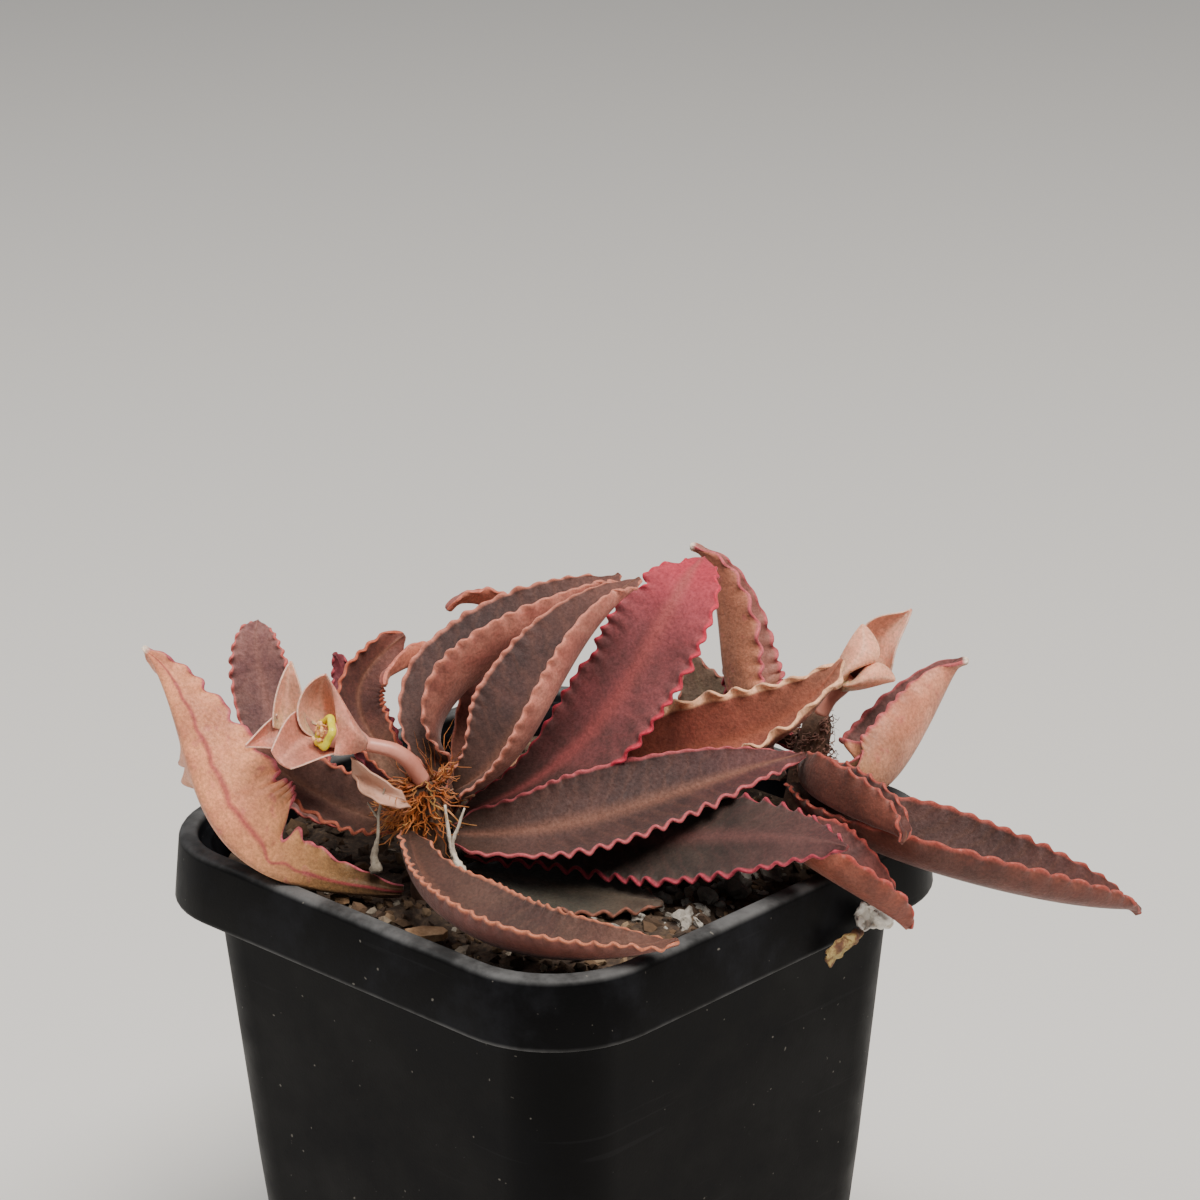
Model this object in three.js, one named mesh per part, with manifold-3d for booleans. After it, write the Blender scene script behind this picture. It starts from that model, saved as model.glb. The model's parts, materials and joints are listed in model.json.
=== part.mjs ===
// Potted succulent: two low crowns of waved channelled leaves, two small flower heads,
// in a square nursery pot. Millimetres, +Z up, origin at the centre of the pot's foot.
import * as THREE from "three";
import { mergeVertices } from "three/addons/utils/BufferGeometryUtils.js";
import Module from "manifold-3d";

const wasm = await Module();
wasm.setup();
const { Manifold, Mesh } = wasm;

// Driving dimensions.

const POT_HEIGHT = 75;
const BAND_HEIGHT = 8.1;
const BAND_HALF_TOP = 34.4;
const BAND_HALF_LOW = 35.0;
const BAND_CORNER = 13.2;
const BAND_WALL = 1.2;
const RIM_ROUND = 0.7;
const LEDGE_WIDTH = 2.0;
const STEP_DEPTH = 1.6;
const STEP_WIDTH = 1.1;
const STEP_SLOPE = 0.5;
const BODY_HALF_TOP = 30.2;
const BODY_CORNER = 9.0;
const BODY_TAPER = 0.071;
const WALL = 1.3;
const FLOOR = 1.8;
const FOOT_ROUND = 1.2;
const CORNER_STEPS = 5;
const DRAIN_RADIUS = 2.6;
const DRAIN_OFFSET = 13;
const DRAIN_SIDES = 14;

const SOIL_TOP = 71.0;
const SOIL_UNDER = 3.0;
const SOIL_GAP = 0.35;
const SOIL_EDGE_DROP = 1;
const SOIL_EDGE_INSET = 0.2;
const SOIL_RINGS = 7;
const SOIL_RELIEF = 0.55;
const STEM_HOLE_DEPTH = 7;
const STEM_HOLE_SIDES = 20;
const STEM_GAP = 0.35;
const STEM_FOOT = SOIL_TOP - STEM_HOLE_DEPTH + 0.3;
const GRAVEL_COUNT = 24;
const GRAVEL_LEAST = 0.9;
const GRAVEL_MOST = 2.1;
const GRAVEL_OFF_WALL = 2.6;
const GRAVEL_OFF_STEM = 5;
const GRAVEL_OFF_LEAF = 1.2;

const STEM_RADIUS = 2.1;
const STEM_SIDES = 10;
const BRISTLE_SIDES = 3;
const BRISTLE_ROOT = 0.42;
const BRISTLE_END = 0.22;
const BRISTLE_CLEARANCE = 1.05;
const STALK_CLEARANCE = 1.9;

const MIDRIB_THICKNESS = 0.95;
const MARGIN_THICKNESS = 0.64;
const WAVE_PITCH = 2.8;
const WAVE_HEIGHT = 0.42;
const LEAST_HALF_WIDTH = 0.4;

const TURN = Math.PI / 180;

// Small helpers.

const vec = (a) => new THREE.Vector3(a[0], a[1], a[2]);

function randomFrom(seed) {
  let state = seed >>> 0;
  return () => {
    state = (Math.imul(state, 1664525) + 1013904223) >>> 0;
    return state / 4294967296;
  };
}

const clamp01 = (t) => Math.min(1, Math.max(0, t));

function eased(t) {
  const u = clamp01(t);
  return u * u * (3 - 2 * u);
}

function solidFrom(geometry) {
  const plain = new THREE.BufferGeometry();
  const flat = geometry.index ? geometry.toNonIndexed() : geometry;
  plain.setAttribute("position", flat.getAttribute("position"));
  const merged = mergeVertices(plain, 1e-4);
  return new Manifold(
    new Mesh({
      numProp: 3,
      vertProperties: new Float32Array(merged.attributes.position.array),
      triVerts: new Uint32Array(merged.index.array),
    }),
  );
}

function solidFromLists(points, triangles) {
  return new Manifold(
    new Mesh({
      numProp: 3,
      vertProperties: new Float32Array(points.flat()),
      triVerts: new Uint32Array(triangles.flat()),
    }),
  );
}

function geometryFrom(solid) {
  const mesh = solid.getMesh();
  const stride = mesh.numProp;
  const xyz = new Float32Array(mesh.numVert * 3);
  for (let i = 0; i < mesh.numVert; i += 1) {
    xyz.set(mesh.vertProperties.subarray(i * stride, i * stride + 3), i * 3);
  }
  const geometry = new THREE.BufferGeometry();
  geometry.setAttribute("position", new THREE.BufferAttribute(xyz, 3));
  geometry.setIndex(new THREE.BufferAttribute(new Uint32Array(mesh.triVerts), 1));
  return geometry;
}

function fused(solids) {
  return solids.reduce((sum, one) => sum.add(one));
}

function biggestBody(solid) {
  const bodies = solid.decompose();
  return bodies.reduce((a, b) => (b.volume() > a.volume() ? b : a));
}

// A stack of closed rings of points, capped at both ends.
function loft(rings) {
  const n = rings[0].length;
  const points = rings.flat();
  const triangles = [];
  for (let k = 0; k + 1 < rings.length; k += 1) {
    for (let i = 0; i < n; i += 1) {
      const j = (i + 1) % n;
      triangles.push([k * n + i, k * n + j, (k + 1) * n + j]);
      triangles.push([k * n + i, (k + 1) * n + j, (k + 1) * n + i]);
    }
  }
  const last = (rings.length - 1) * n;
  for (let i = 1; i + 1 < n; i += 1) {
    triangles.push([0, i + 1, i]);
    triangles.push([last, last + i, last + i + 1]);
  }
  return solidFromLists(points, triangles);
}

// Outline of a square with rounded corners, anticlockwise.
function squareOutline(half, corner, z) {
  const points = [];
  const inner = half - corner;
  for (let quarter = 0; quarter < 4; quarter += 1) {
    const cx = inner * (quarter === 0 || quarter === 3 ? 1 : -1);
    const cy = inner * (quarter < 2 ? 1 : -1);
    for (let step = 0; step <= CORNER_STEPS; step += 1) {
      const angle = (quarter + step / CORNER_STEPS) * 90 * TURN;
      points.push([cx + corner * Math.cos(angle), cy + corner * Math.sin(angle), z]);
    }
  }
  return points;
}

// The pot.

const bodyHalf = (z) => BODY_HALF_TOP - BODY_TAPER * (POT_HEIGHT - BAND_HEIGHT - z);

function potOutside() {
  const under = POT_HEIGHT - BAND_HEIGHT;
  const rows = [
    [0, bodyHalf(0) - FOOT_ROUND, BODY_CORNER - FOOT_ROUND],
    [FOOT_ROUND, bodyHalf(FOOT_ROUND), BODY_CORNER],
    [under * 0.5, bodyHalf(under * 0.5), BODY_CORNER],
    [under, BODY_HALF_TOP, BODY_CORNER],
    [POT_HEIGHT - STEP_DEPTH * 2, BODY_HALF_TOP + 0.2, BODY_CORNER],
    [POT_HEIGHT - BAND_WALL - 0.1, BAND_HALF_TOP - BAND_WALL, BAND_CORNER - BAND_WALL],
    [under, BAND_HALF_LOW - BAND_WALL, BAND_CORNER - BAND_WALL],
    [under, BAND_HALF_LOW, BAND_CORNER],
    [POT_HEIGHT - RIM_ROUND, BAND_HALF_TOP, BAND_CORNER],
    [POT_HEIGHT - RIM_ROUND * 0.3, BAND_HALF_TOP - RIM_ROUND * 0.3, BAND_CORNER - 0.2],
    [POT_HEIGHT, BAND_HALF_TOP - RIM_ROUND, BAND_CORNER - RIM_ROUND],
    [POT_HEIGHT, BAND_HALF_TOP - LEDGE_WIDTH, BAND_CORNER - LEDGE_WIDTH],
    [
      POT_HEIGHT - STEP_DEPTH,
      BAND_HALF_TOP - LEDGE_WIDTH - STEP_SLOPE,
      BAND_CORNER - LEDGE_WIDTH - STEP_SLOPE,
    ],
    [
      POT_HEIGHT - STEP_DEPTH,
      BAND_HALF_TOP - LEDGE_WIDTH - STEP_SLOPE - STEP_WIDTH,
      BAND_CORNER - LEDGE_WIDTH - STEP_SLOPE - STEP_WIDTH,
    ],
    [under, BODY_HALF_TOP - WALL, BODY_CORNER - WALL],
    [under * 0.5, bodyHalf(under * 0.5) - WALL, BODY_CORNER - WALL],
    [FLOOR + FOOT_ROUND, bodyHalf(FLOOR) - WALL, BODY_CORNER - WALL],
    [FLOOR, bodyHalf(FLOOR) - WALL - FOOT_ROUND, BODY_CORNER - WALL - FOOT_ROUND],
  ];
  return rows.map(([z, half, corner]) => squareOutline(half, corner, z));
}

function drainHole(x, y) {
  const post = new THREE.CylinderGeometry(DRAIN_RADIUS, DRAIN_RADIUS, FLOOR * 4, DRAIN_SIDES);
  post.rotateX(90 * TURN);
  post.translate(x, y, FLOOR / 2);
  return solidFrom(post);
}

function pot() {
  let shell = loft(potOutside());
  for (const x of [-DRAIN_OFFSET, DRAIN_OFFSET]) {
    for (const y of [-DRAIN_OFFSET, DRAIN_OFFSET]) {
      shell = shell.subtract(drainHole(x, y));
    }
  }
  return shell;
}

// The leaves.

const PEACH = 0xb9745f;
const TAN_PEACH = 0xa9745f;
const CORAL = 0xb4614c;
const ORANGE_RED = 0x9f4a36;
const CRIMSON = 0x86343a;
const CRIMSON_BROWN = 0x5e3a38;
const ROSE = 0xb47276;
const ROSE_BROWN = 0x96665a;
const GREY_BROWN = 0x6d5a52;
const GREY_GREEN = 0x676b5c;
const DARK_GREEN = 0x3c4036;
const DARK_MAUVE = 0x47383b;

// Each leaf is led along a smooth midrib through four points, faces the given way,
// and its two halves are cupped up from the midrib by the two pairs of angles
// (left at midrib, left at margin, right at midrib, right at margin).
const LEAVES = [
  {
    name: "leaf_peach_left",
    color: PEACH,
    path: [[-1.5, -22.5, 73], [-12.5, -36, 78.2], [-20.5, -36.5, 87.5], [-29, -35, 99]],
    face: [-0.5, 0.8, 0.1], width: 19.5, cup: [15, 30, 50, 88], twist: 5, neck: 0.2,
    tip: [2.0, 1.0],
    bites: [[1, 0.27, 0.35, 0.035]],
  },
  {
    name: "leaf_upright_left",
    color: CRIMSON_BROWN,
    path: [[-4.5, -18, 81.5], [-18.5, -20.5, 80.5], [-25.5, -21, 90.5], [-28.5, -19, 97.5]],
    face: [0.6, -0.7, 0.4], width: 8, cup: [5, 25, 5, 30], twist: 5, neck: 0.3,
    tip: [3.2, 0.8],
  },
  {
    name: "leaf_under_flower",
    color: DARK_MAUVE,
    path: [[-4, -20.5, 80], [-8, -23, 80.5], [-13.5, -27, 84], [-21, -29, 88.5]],
    face: [0.5, -0.4, 0.7], width: 8.5, cup: [15, 60, 15, 45], twist: 0, neck: 0.35,
  },
  {
    name: "leaf_crimped_left",
    color: CRIMSON_BROWN,
    path: [[-4.6, -18, 83], [-12, -17, 87.3], [-15, -16, 92], [-14, -9.5, 97]],
    face: [0.8, -0.5, 0.3], width: 6.5, cup: [20, 50, 20, 50], twist: 0, neck: 0.35,
    tip: [4, 0.6],
  },
  {
    name: "leaf_small_dark",
    color: CRIMSON,
    path: [[-4.5, -17, 79], [-14, -14, 84], [-21, -11, 87.5], [-24.5, -11, 92.5]],
    face: [0.6, -0.6, 0.5], width: 6.5, cup: [15, 40, 15, 40], twist: 0, neck: 0.3,
  },
  {
    name: "leaf_claw",
    color: ROSE,
    path: [[-3, -16.2, 83.2], [-8.7, -11.1, 92.2], [-10.4, -11.4, 95.2], [-10.4, -17.2, 94.7]],
    face: [-0.4, 0.7, 0.45], width: 5.2, cup: [20, 75, 20, 75], twist: 0, neck: 0.2,
    tip: [3, 0.8],
  },
  {
    name: "leaf_curled_back",
    color: ROSE,
    path: [[-1.5, -14.8, 80], [-7.8, -3.5, 88.4], [-10, 1.5, 96.5], [-13.5, -3.5, 99.5]],
    face: [-0.2, 0.4, 0.9], width: 6, cup: [20, 60, 20, 60], twist: 0, neck: 0.35,
    tip: [4, 0.7],
  },
  {
    name: "leaf_arched_far",
    color: GREY_BROWN,
    path: [[-1, -16.3, 85.9], [-3, -12.5, 93], [0, -2.5, 98.5], [3, 8.5, 103.5]],
    face: [-0.2, -0.2, 1], width: 14.8, cup: [30, 50, 22, 98], twist: 25, neck: 0.3,
  },
  {
    name: "leaf_arched_near",
    color: GREY_BROWN,
    path: [[1, -16.5, 84], [6.9, -12.3, 91], [9, -6, 99.5], [11.5, 3, 106.5]],
    face: [0.1, -0.9, 0.5], width: 14.0, cup: [5, 35, 15, 118], twist: -30, neck: 0.35,
  },
  {
    name: "leaf_crimson",
    color: CRIMSON,
    path: [[0.5, -15, 80.5], [6.6, -0.7, 87.4], [11.5, 5.8, 99.5], [10.5, 14.5, 105.5]],
    face: [0.4, -0.6, 0.7], width: 13.2, cup: [-15, 0, 10, 30], twist: 10, neck: 0.2,
    swell: 0.5, tip: [3.4, 0.8],
    bites: [[1, 0.8, 0.2, 0.03], [1, 0.95, 0.25, 0.02]],
  },
  {
    name: "leaf_long_front",
    color: GREY_BROWN,
    path: [[2, -18, 79.5], [11.5, -8.5, 80.5], [18.5, 2.5, 83], [25.5, 15, 85.5]],
    face: [0.3, -0.7, 0.7], width: 11.5, cup: [0, 30, 5, 55], twist: -15, neck: 0.5,
  },
  {
    name: "leaf_front_low",
    color: CORAL,
    path: [[-0.5, -22.5, 80.5], [12.5, -28.5, 76.5], [25.5, -27, 75.5], [37, -18.5, 77.5]],
    face: [0.2, 0.1, 1], width: 12.5, cup: [20, 55, 10, 85], twist: 5, neck: 0.35,
  },
  {
    name: "leaf_soil_level",
    color: DARK_GREEN,
    path: [[2.5, -17.5, 75], [8, -12, 73.3], [15, -8, 72.5], [22, -5, 72.7]],
    face: [0.2, -0.2, 1], width: 10.5, cup: [-8, 0, 5, 20], twist: 0, neck: 0.3,
  },
  {
    name: "leaf_dark_front",
    color: DARK_GREEN,
    path: [[2, -16.5, 77], [12, -4, 77], [27, 1.5, 80.1], [42.5, 2.5, 83]],
    face: [0.5, -0.5, 0.7], width: 13, cup: [-15, -10, 5, 25], twist: 5, neck: 0.25,
    swell: 0.55,
  },
  {
    name: "leaf_orange",
    color: ORANGE_RED,
    path: [[-1, -15, 82.5], [1.5, 3.8, 80.1], [14, 15, 83.8], [24, 23, 94.5]],
    face: [0.5, -0.7, 0.5], width: 14.5, cup: [10, 25, 0, 130], twist: -5, neck: 0.2,
    swell: 0.7,
  },
  {
    name: "leaf_long_right",
    color: ROSE_BROWN,
    path: [[19.5, 20.5, 78.5], [33.5, 17, 76.5], [47, 27, 71.5], [54.5, 40, 67.5]],
    face: [0, -0.1, 1], width: 14.5, cup: [35, 60, 5, 100], twist: 0, neck: 0.3,
    swell: 0.5,
  },
  {
    name: "leaf_hooked_right",
    color: ROSE_BROWN,
    path: [[20.8, 21.5, 81.2], [27.2, 14.5, 81.6], [35.8, 13.2, 81.3], [42, 13, 81]],
    face: [0.3, 0.65, 0.7], width: 10.5, cup: [60, 110, 25, 75], twist: -5, neck: 0.25,
  },
  {
    name: "leaf_raised_right",
    color: PEACH,
    path: [[20.6, 25.3, 79.5], [27.2, 26, 78.6], [26.8, 34, 83.2], [27.5, 40, 91]],
    face: [-0.62, -0.34, 0.7], width: 15, cup: [70, 72, 20, 116], twist: 0, neck: 0.4,
  },
  {
    name: "leaf_upright_right",
    color: TAN_PEACH,
    path: [[15, 25.5, 82], [7.5, 23, 85], [5.5, 23, 94], [2.5, 22, 104]],
    face: [0.6, 0.5, 0.6], width: 13.5, cup: [35, 60, 45, 75], twist: 35, neck: 0.4,
  },
  {
    name: "leaf_over_rim",
    color: CORAL,
    path: [[18, 20, 75], [28.5, 8.5, 77.7], [37.5, 9.5, 74.5], [41, 15, 69]],
    face: [0.2, 0, 1], width: 12, cup: [20, 45, 15, 118], twist: 0, neck: 0.25,
    swell: 0.5,
  },
  {
    name: "leaf_grey_back",
    color: GREY_GREEN,
    path: [[14.6, 23.6, 77], [2, 29.5, 77], [-4, 31, 79.5], [-7, 31, 85]],
    face: [0.5, -0.7, 0.5], width: 9, cup: [5, 20, 5, 20], twist: 0, neck: 0.3,
  },
  {
    name: "leaf_crinkled_back",
    color: CRIMSON,
    path: [[15.5, 27, 80], [8.5, 26.5, 82.5], [5.5, 26.5, 85.5], [3, 26, 89]],
    face: [0.7, -0.5, 0.5], width: 6, cup: [5, 20, 5, 20], twist: 0, neck: 0.4,
  },
];

// Smooth curve through the given points, evenly spaced along s = 0..1.
function onPath(path, s) {
  const n = path.length;
  const out = new THREE.Vector3();
  for (let i = 0; i < n; i += 1) {
    let weight = 1;
    for (let j = 0; j < n; j += 1) {
      if (j !== i) {
        weight *= (s * (n - 1) - j) / (i - j);
      }
    }
    out.addScaledVector(vec(path[i]), weight);
  }
  return out;
}

function frameAt(leaf, s) {
  const step = 1e-3;
  const along = onPath(leaf.path, s + step).sub(onPath(leaf.path, s - step)).normalize();
  const facing = vec(leaf.face);
  const up = facing.addScaledVector(along, -facing.dot(along)).normalize();
  const side = new THREE.Vector3().crossVectors(up, along);
  const roll = leaf.twist * (s - 0.5) * TURN;
  const c = Math.cos(roll);
  const q = Math.sin(roll);
  return {
    at: onPath(leaf.path, s),
    along,
    side: side.clone().multiplyScalar(c).addScaledVector(up, q),
    up: up.clone().multiplyScalar(c).addScaledVector(side, -q),
  };
}

// How late and how sharply a blade narrows to its tip; a leaf's own tip may be blunter.
const TIP_TAPER = [2.3, 0.95];

function halfWidth(leaf, s) {
  const swell = leaf.neck + (1 - leaf.neck) * eased(s / (leaf.swell ?? 0.4));
  const fade = clamp01((s - 0.42) / 0.58);
  const [late, sharp] = leaf.tip ?? TIP_TAPER;
  return (leaf.width / 2) * Math.max(swell * Math.pow(1 - Math.pow(fade, late), sharp), 0.02);
}

// Reach, rise and lean of a half blade at share v of its width: its lean grows from a to b.
function cupped(a, b, v) {
  const lean = (a + (b - a) * v) * TURN;
  if (Math.abs(b - a) < 0.1) {
    return { reach: v * Math.cos(a * TURN), rise: v * Math.sin(a * TURN), lean };
  }
  const span = (b - a) * TURN;
  return {
    reach: (Math.sin(lean) - Math.sin(a * TURN)) / span,
    rise: (Math.cos(a * TURN) - Math.cos(lean)) / span,
    lean,
  };
}

// A bite out of one margin: side (1 left, -1 right), place along the leaf, depth, breadth.
function bitten(leaf, s, v) {
  const bites = leaf.bites ?? [];
  return bites.reduce((left, [side, place, depth, breadth]) => {
    const near = Math.exp(-(((s - place) / breadth) ** 2));
    return side * v > 0 ? left * (1 - depth * near) : left;
  }, 1);
}

const ACROSS = [-1, -0.6, 0, 0.6, 1];

function leafLength(leaf) {
  let sum = 0;
  for (let k = 0; k < 20; k += 1) {
    sum += onPath(leaf.path, (k + 1) / 20).distanceTo(onPath(leaf.path, k / 20));
  }
  return sum;
}

function bladePoint(leaf, s, v, waveSign, layer) {
  const { at, side, up } = frameAt(leaf, s);
  const w = Math.max(halfWidth(leaf, s) * bitten(leaf, s, v), LEAST_HALF_WIDTH);
  const open = clamp01((w - 0.5) / 2);
  const pair = v > 0 ? leaf.cup.slice(0, 2) : leaf.cup.slice(2, 4);
  const { reach, rise, lean } = cupped(pair[0] * open, pair[1] * open, Math.abs(v));
  const hand = v < 0 ? -1 : 1;
  const point = at.clone();
  point.addScaledVector(side, hand * reach * w);
  point.addScaledVector(up, rise * w);
  const out = up.clone().multiplyScalar(Math.cos(lean));
  out.addScaledVector(side, -hand * Math.sin(lean));
  if (v === 0) {
    out.copy(up);
  }
  const edge = Math.abs(v);
  const thick = MIDRIB_THICKNESS + (MARGIN_THICKNESS - MIDRIB_THICKNESS) * edge;
  const amount = (leaf.wave ?? WAVE_HEIGHT) * Math.pow(edge, 3) * eased((1 - s) / 0.12);
  point.addScaledVector(out, waveSign * hand * amount * eased(s / 0.1));
  point.addScaledVector(out, (layer * thick) / 2);
  return point.toArray();
}

function leafSolid(leaf) {
  const pitch = (leaf.pitch ?? WAVE_PITCH) / 2;
  const stations = Math.max(8, Math.round(leafLength(leaf) / pitch));
  const rings = [];
  for (let k = 0; k <= stations; k += 1) {
    const sign = k % 2 === 0 ? 1 : -1;
    const s = k / stations;
    const lower = ACROSS.map((v) => bladePoint(leaf, s, v, sign, -1));
    const upper = ACROSS.map((v) => bladePoint(leaf, s, v, sign, 1));
    rings.push({ lower, upper });
  }
  return stitched(rings);
}

// Two skins split into triangles alike, closed along the margins and at both ends.
function stitched(rings) {
  const m = rings[0].lower.length;
  const points = rings.flatMap(({ lower, upper }) => [...lower, ...upper]);
  const low = (k, i) => k * 2 * m + i;
  const top = (k, i) => k * 2 * m + m + i;
  const triangles = [];
  const quad = (a, b, c, d) => {
    triangles.push([a, b, c]);
    triangles.push([a, c, d]);
  };
  const last = rings.length - 1;
  for (let k = 0; k < last; k += 1) {
    for (let i = 0; i + 1 < m; i += 1) {
      quad(top(k, i), top(k + 1, i), top(k + 1, i + 1), top(k, i + 1));
      triangles.push([low(k, i), low(k + 1, i + 1), low(k + 1, i)]);
      triangles.push([low(k, i), low(k, i + 1), low(k + 1, i + 1)]);
    }
    quad(low(k, 0), low(k + 1, 0), top(k + 1, 0), top(k, 0));
    quad(top(k, m - 1), top(k + 1, m - 1), low(k + 1, m - 1), low(k, m - 1));
  }
  for (let i = 0; i + 1 < m; i += 1) {
    quad(low(0, i), top(0, i), top(0, i + 1), low(0, i + 1));
    quad(low(last, i + 1), top(last, i + 1), top(last, i), low(last, i));
  }
  const solid = solidFromLists(points, triangles);
  if (solid.volume() < 0) {
    return solidFromLists(points, triangles.map(([a, b, c]) => [a, c, b]));
  }
  return solid;
}

// Stalks, flower heads and dry bits.

// A round stalk through the given points; each point is x, y, z, radius.
function stalk(points, sides) {
  const centres = points.map((p) => vec(p));
  const away = new THREE.Vector3(0.31, 0.87, 0.39).normalize();
  const rings = centres.map((centre, k) => {
    const before = centres[Math.max(0, k - 1)];
    const after = centres[Math.min(centres.length - 1, k + 1)];
    const along = after.clone().sub(before).normalize();
    const side = away.clone().addScaledVector(along, -away.dot(along)).normalize();
    const up = new THREE.Vector3().crossVectors(along, side);
    const ring = [];
    for (let i = 0; i < sides; i += 1) {
      const angle = (i / sides) * 360 * TURN;
      const p = centre.clone();
      p.addScaledVector(side, points[k][3] * Math.cos(angle));
      p.addScaledVector(up, points[k][3] * Math.sin(angle));
      ring.push(p.toArray());
    }
    return ring;
  });
  return loft(rings);
}

// A plain bract: a leaf without waves.
function bract(path, face, width, cup, extra = {}) {
  return leafSolid({ path, face, width, cup, twist: 0, neck: 0.45, wave: 0, pitch: 3.2, ...extra });
}

function bead(centre, radius) {
  const ball = new THREE.IcosahedronGeometry(radius, 0);
  ball.translate(centre[0], centre[1], centre[2]);
  return solidFrom(ball);
}

function nectarRing(centre, facing, radius, tube) {
  const ring = new THREE.TorusGeometry(radius, tube, 4, 10);
  const turn = new THREE.Quaternion().setFromUnitVectors(new THREE.Vector3(0, 0, 1), facing);
  ring.applyQuaternion(turn);
  ring.translate(centre[0], centre[1], centre[2]);
  return solidFrom(ring);
}

const FLOWER_LEFT_THROAT = [-4.3, -25, 90.8];
const FLOWER_LEFT_MOUTH = [-6.1, -29.2, 92.9];
const RING_RADIUS = 1.35;
const RING_TUBE = 0.38;
const ANTHER_COUNT = 5;
const ANTHER_RADIUS = 0.42;
const ANTHER_CIRCLE = 0.8;
const TWIG_SIDES = 5;

function flowerLeft() {
  const throat = FLOWER_LEFT_THROAT;
  const mouth = FLOWER_LEFT_MOUTH;
  const facing = vec(mouth).sub(vec(throat)).normalize();
  const mid = vec(throat).lerp(vec(mouth), 0.5).toArray();
  const pieces = [
    stalk(
      [
        [-1, -19.6, 86.2, 0.62],
        [-1.2, -21.2, 88.8, 0.62],
        [-2, -22.7, 90.2, 0.6],
        [...throat, 0.62],
      ],
      7,
    ),
    stalk([[...throat, 0.6], [...mid, 1.1], [...mouth, 1.75]], 8),
    stalk([[-3.9, -24.6, 90.9, 0.4], [-4.6, -25.2, 92.2, 0.35]], 5),
    nectarRing(mouth, facing, RING_RADIUS, RING_TUBE),
    bract(
      [[-5.2, -27, 91.2], [-6.4, -27.9, 93.4], [-7, -28.2, 96.2], [-6.1, -28.9, 99.8]],
      [0.6, -0.8, 0], 6, [15, 40, 20, 50],
    ),
    bract(
      [[-4.9, -26.6, 90.8], [-6.3, -29.4, 90.3], [-7.6, -31.7, 90.3], [-7.9, -33.6, 89.2]],
      [0.3, -0.3, 0.9], 7.4, [15, 45, 15, 45],
    ),
    stalk([[...throat, 0.5], [-7.2, -25.9, 89.9, 0.5], [-10.2, -27.4, 90.4, 0.6]], 6),
    bract(
      [[-9.6, -27.2, 90.2], [-11.6, -28.2, 91.8], [-12.6, -28.8, 95.4], [-12, -29, 99.9]],
      [0.6, -0.7, 0.2], 4, [20, 50, 20, 50],
    ),
    bract(
      [[-9.8, -27.3, 90.2], [-12.2, -28.7, 90.8], [-14.2, -30.6, 90.8], [-15.4, -33.1, 89.6]],
      [0.5, -0.5, 0.7], 4.2, [15, 40, 15, 40],
    ),
  ];
  const side = new THREE.Vector3(0, 0, 1).cross(facing).normalize();
  const up = new THREE.Vector3().crossVectors(facing, side);
  for (let k = 0; k < ANTHER_COUNT; k += 1) {
    const angle = (k / ANTHER_COUNT) * 360 * TURN;
    const spot = vec(mouth).addScaledVector(facing, RING_TUBE);
    spot.addScaledVector(side, ANTHER_CIRCLE * Math.cos(angle));
    spot.addScaledVector(up, ANTHER_CIRCLE * Math.sin(angle));
    pieces.push(bead(spot.toArray(), ANTHER_RADIUS));
  }
  return fused(pieces);
}

function flowerRight() {
  return fused([
    stalk([[18.9, 25.3, 86.4, 0.8], [20.1, 26.5, 89, 0.75], [21, 27.1, 90.3, 1.1]], 7),
    bract(
      [[20.4, 26.7, 89.4], [21.6, 26.2, 91.6], [22.6, 26.3, 94.2], [23.3, 26.8, 97.4]],
      [-0.7, 0.7, 0.1], 5.6, [20, 45, 20, 45],
    ),
    bract(
      [[20.6, 26.9, 89.4], [22.2, 27.2, 89.6], [24.2, 27.8, 90], [26.2, 29, 90.6]],
      [-0.5, 0.4, 0.7], 4.6, [20, 50, 20, 50],
    ),
    bract(
      [[20.6, 27.3, 89.8], [21.6, 28.9, 91.8], [23, 30.8, 94.6], [25.2, 32.9, 97.9]],
      [0.4, -0.4, 0.3], 7.4, [10, 35, 10, 35],
    ),
  ]);
}

function oldBract() {
  return bract(
    [[-2.9, -22.1, 84], [-3.8, -23.6, 86.3], [-4.8, -25.4, 88.1], [-5.6, -27.2, 89.1]],
    [0.5, -0.5, 0.7], 3.8, [30, 60, 30, 60], { neck: 0.7 },
  );
}

function twigForked() {
  return fused([
    stalk(
      [
        [3.2, -20.2, 84.1, 0.3],
        [4.4, -20.6, 79.4, 0.42],
        [5.2, -20.4, 77.6, 0.5],
        [7.2, -19.4, 75.2, 0.32],
      ],
      TWIG_SIDES,
    ),
    stalk([[5.2, -19.4, 83.6, 0.28], [4.7, -20.4, 80.6, 0.36], [4.7, -20.6, 78.4, 0.4]], TWIG_SIDES),
  ]);
}

function twigLeft() {
  return stalk(
    [
      [-1.6, -25, 86, 0.3],
      [-2, -25.4, 82.4, 0.4],
      [-2.4, -25.8, 78.7, 0.4],
      [-2.6, -25.6, 76.1, 0.45],
    ],
    TWIG_SIDES,
  );
}

// A flat irregular flake lying on the soil.
function flake(centre, long, wide, thick, turn, seed) {
  const random = randomFrom(seed);
  const rim = [];
  const sides = 7;
  for (let i = 0; i < sides; i += 1) {
    const angle = (i / sides) * 360 * TURN;
    const reach = 0.75 + 0.5 * random();
    rim.push([(long / 2) * reach * Math.cos(angle), (wide / 2) * reach * Math.sin(angle)]);
  }
  const shape = new THREE.Shape(rim.map(([x, y]) => new THREE.Vector2(x, y)));
  const slab = new THREE.ExtrudeGeometry(shape, { depth: thick, bevelEnabled: false });
  slab.rotateZ(turn * TURN);
  slab.translate(centre[0], centre[1], centre[2]);
  return solidFrom(slab);
}

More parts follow.
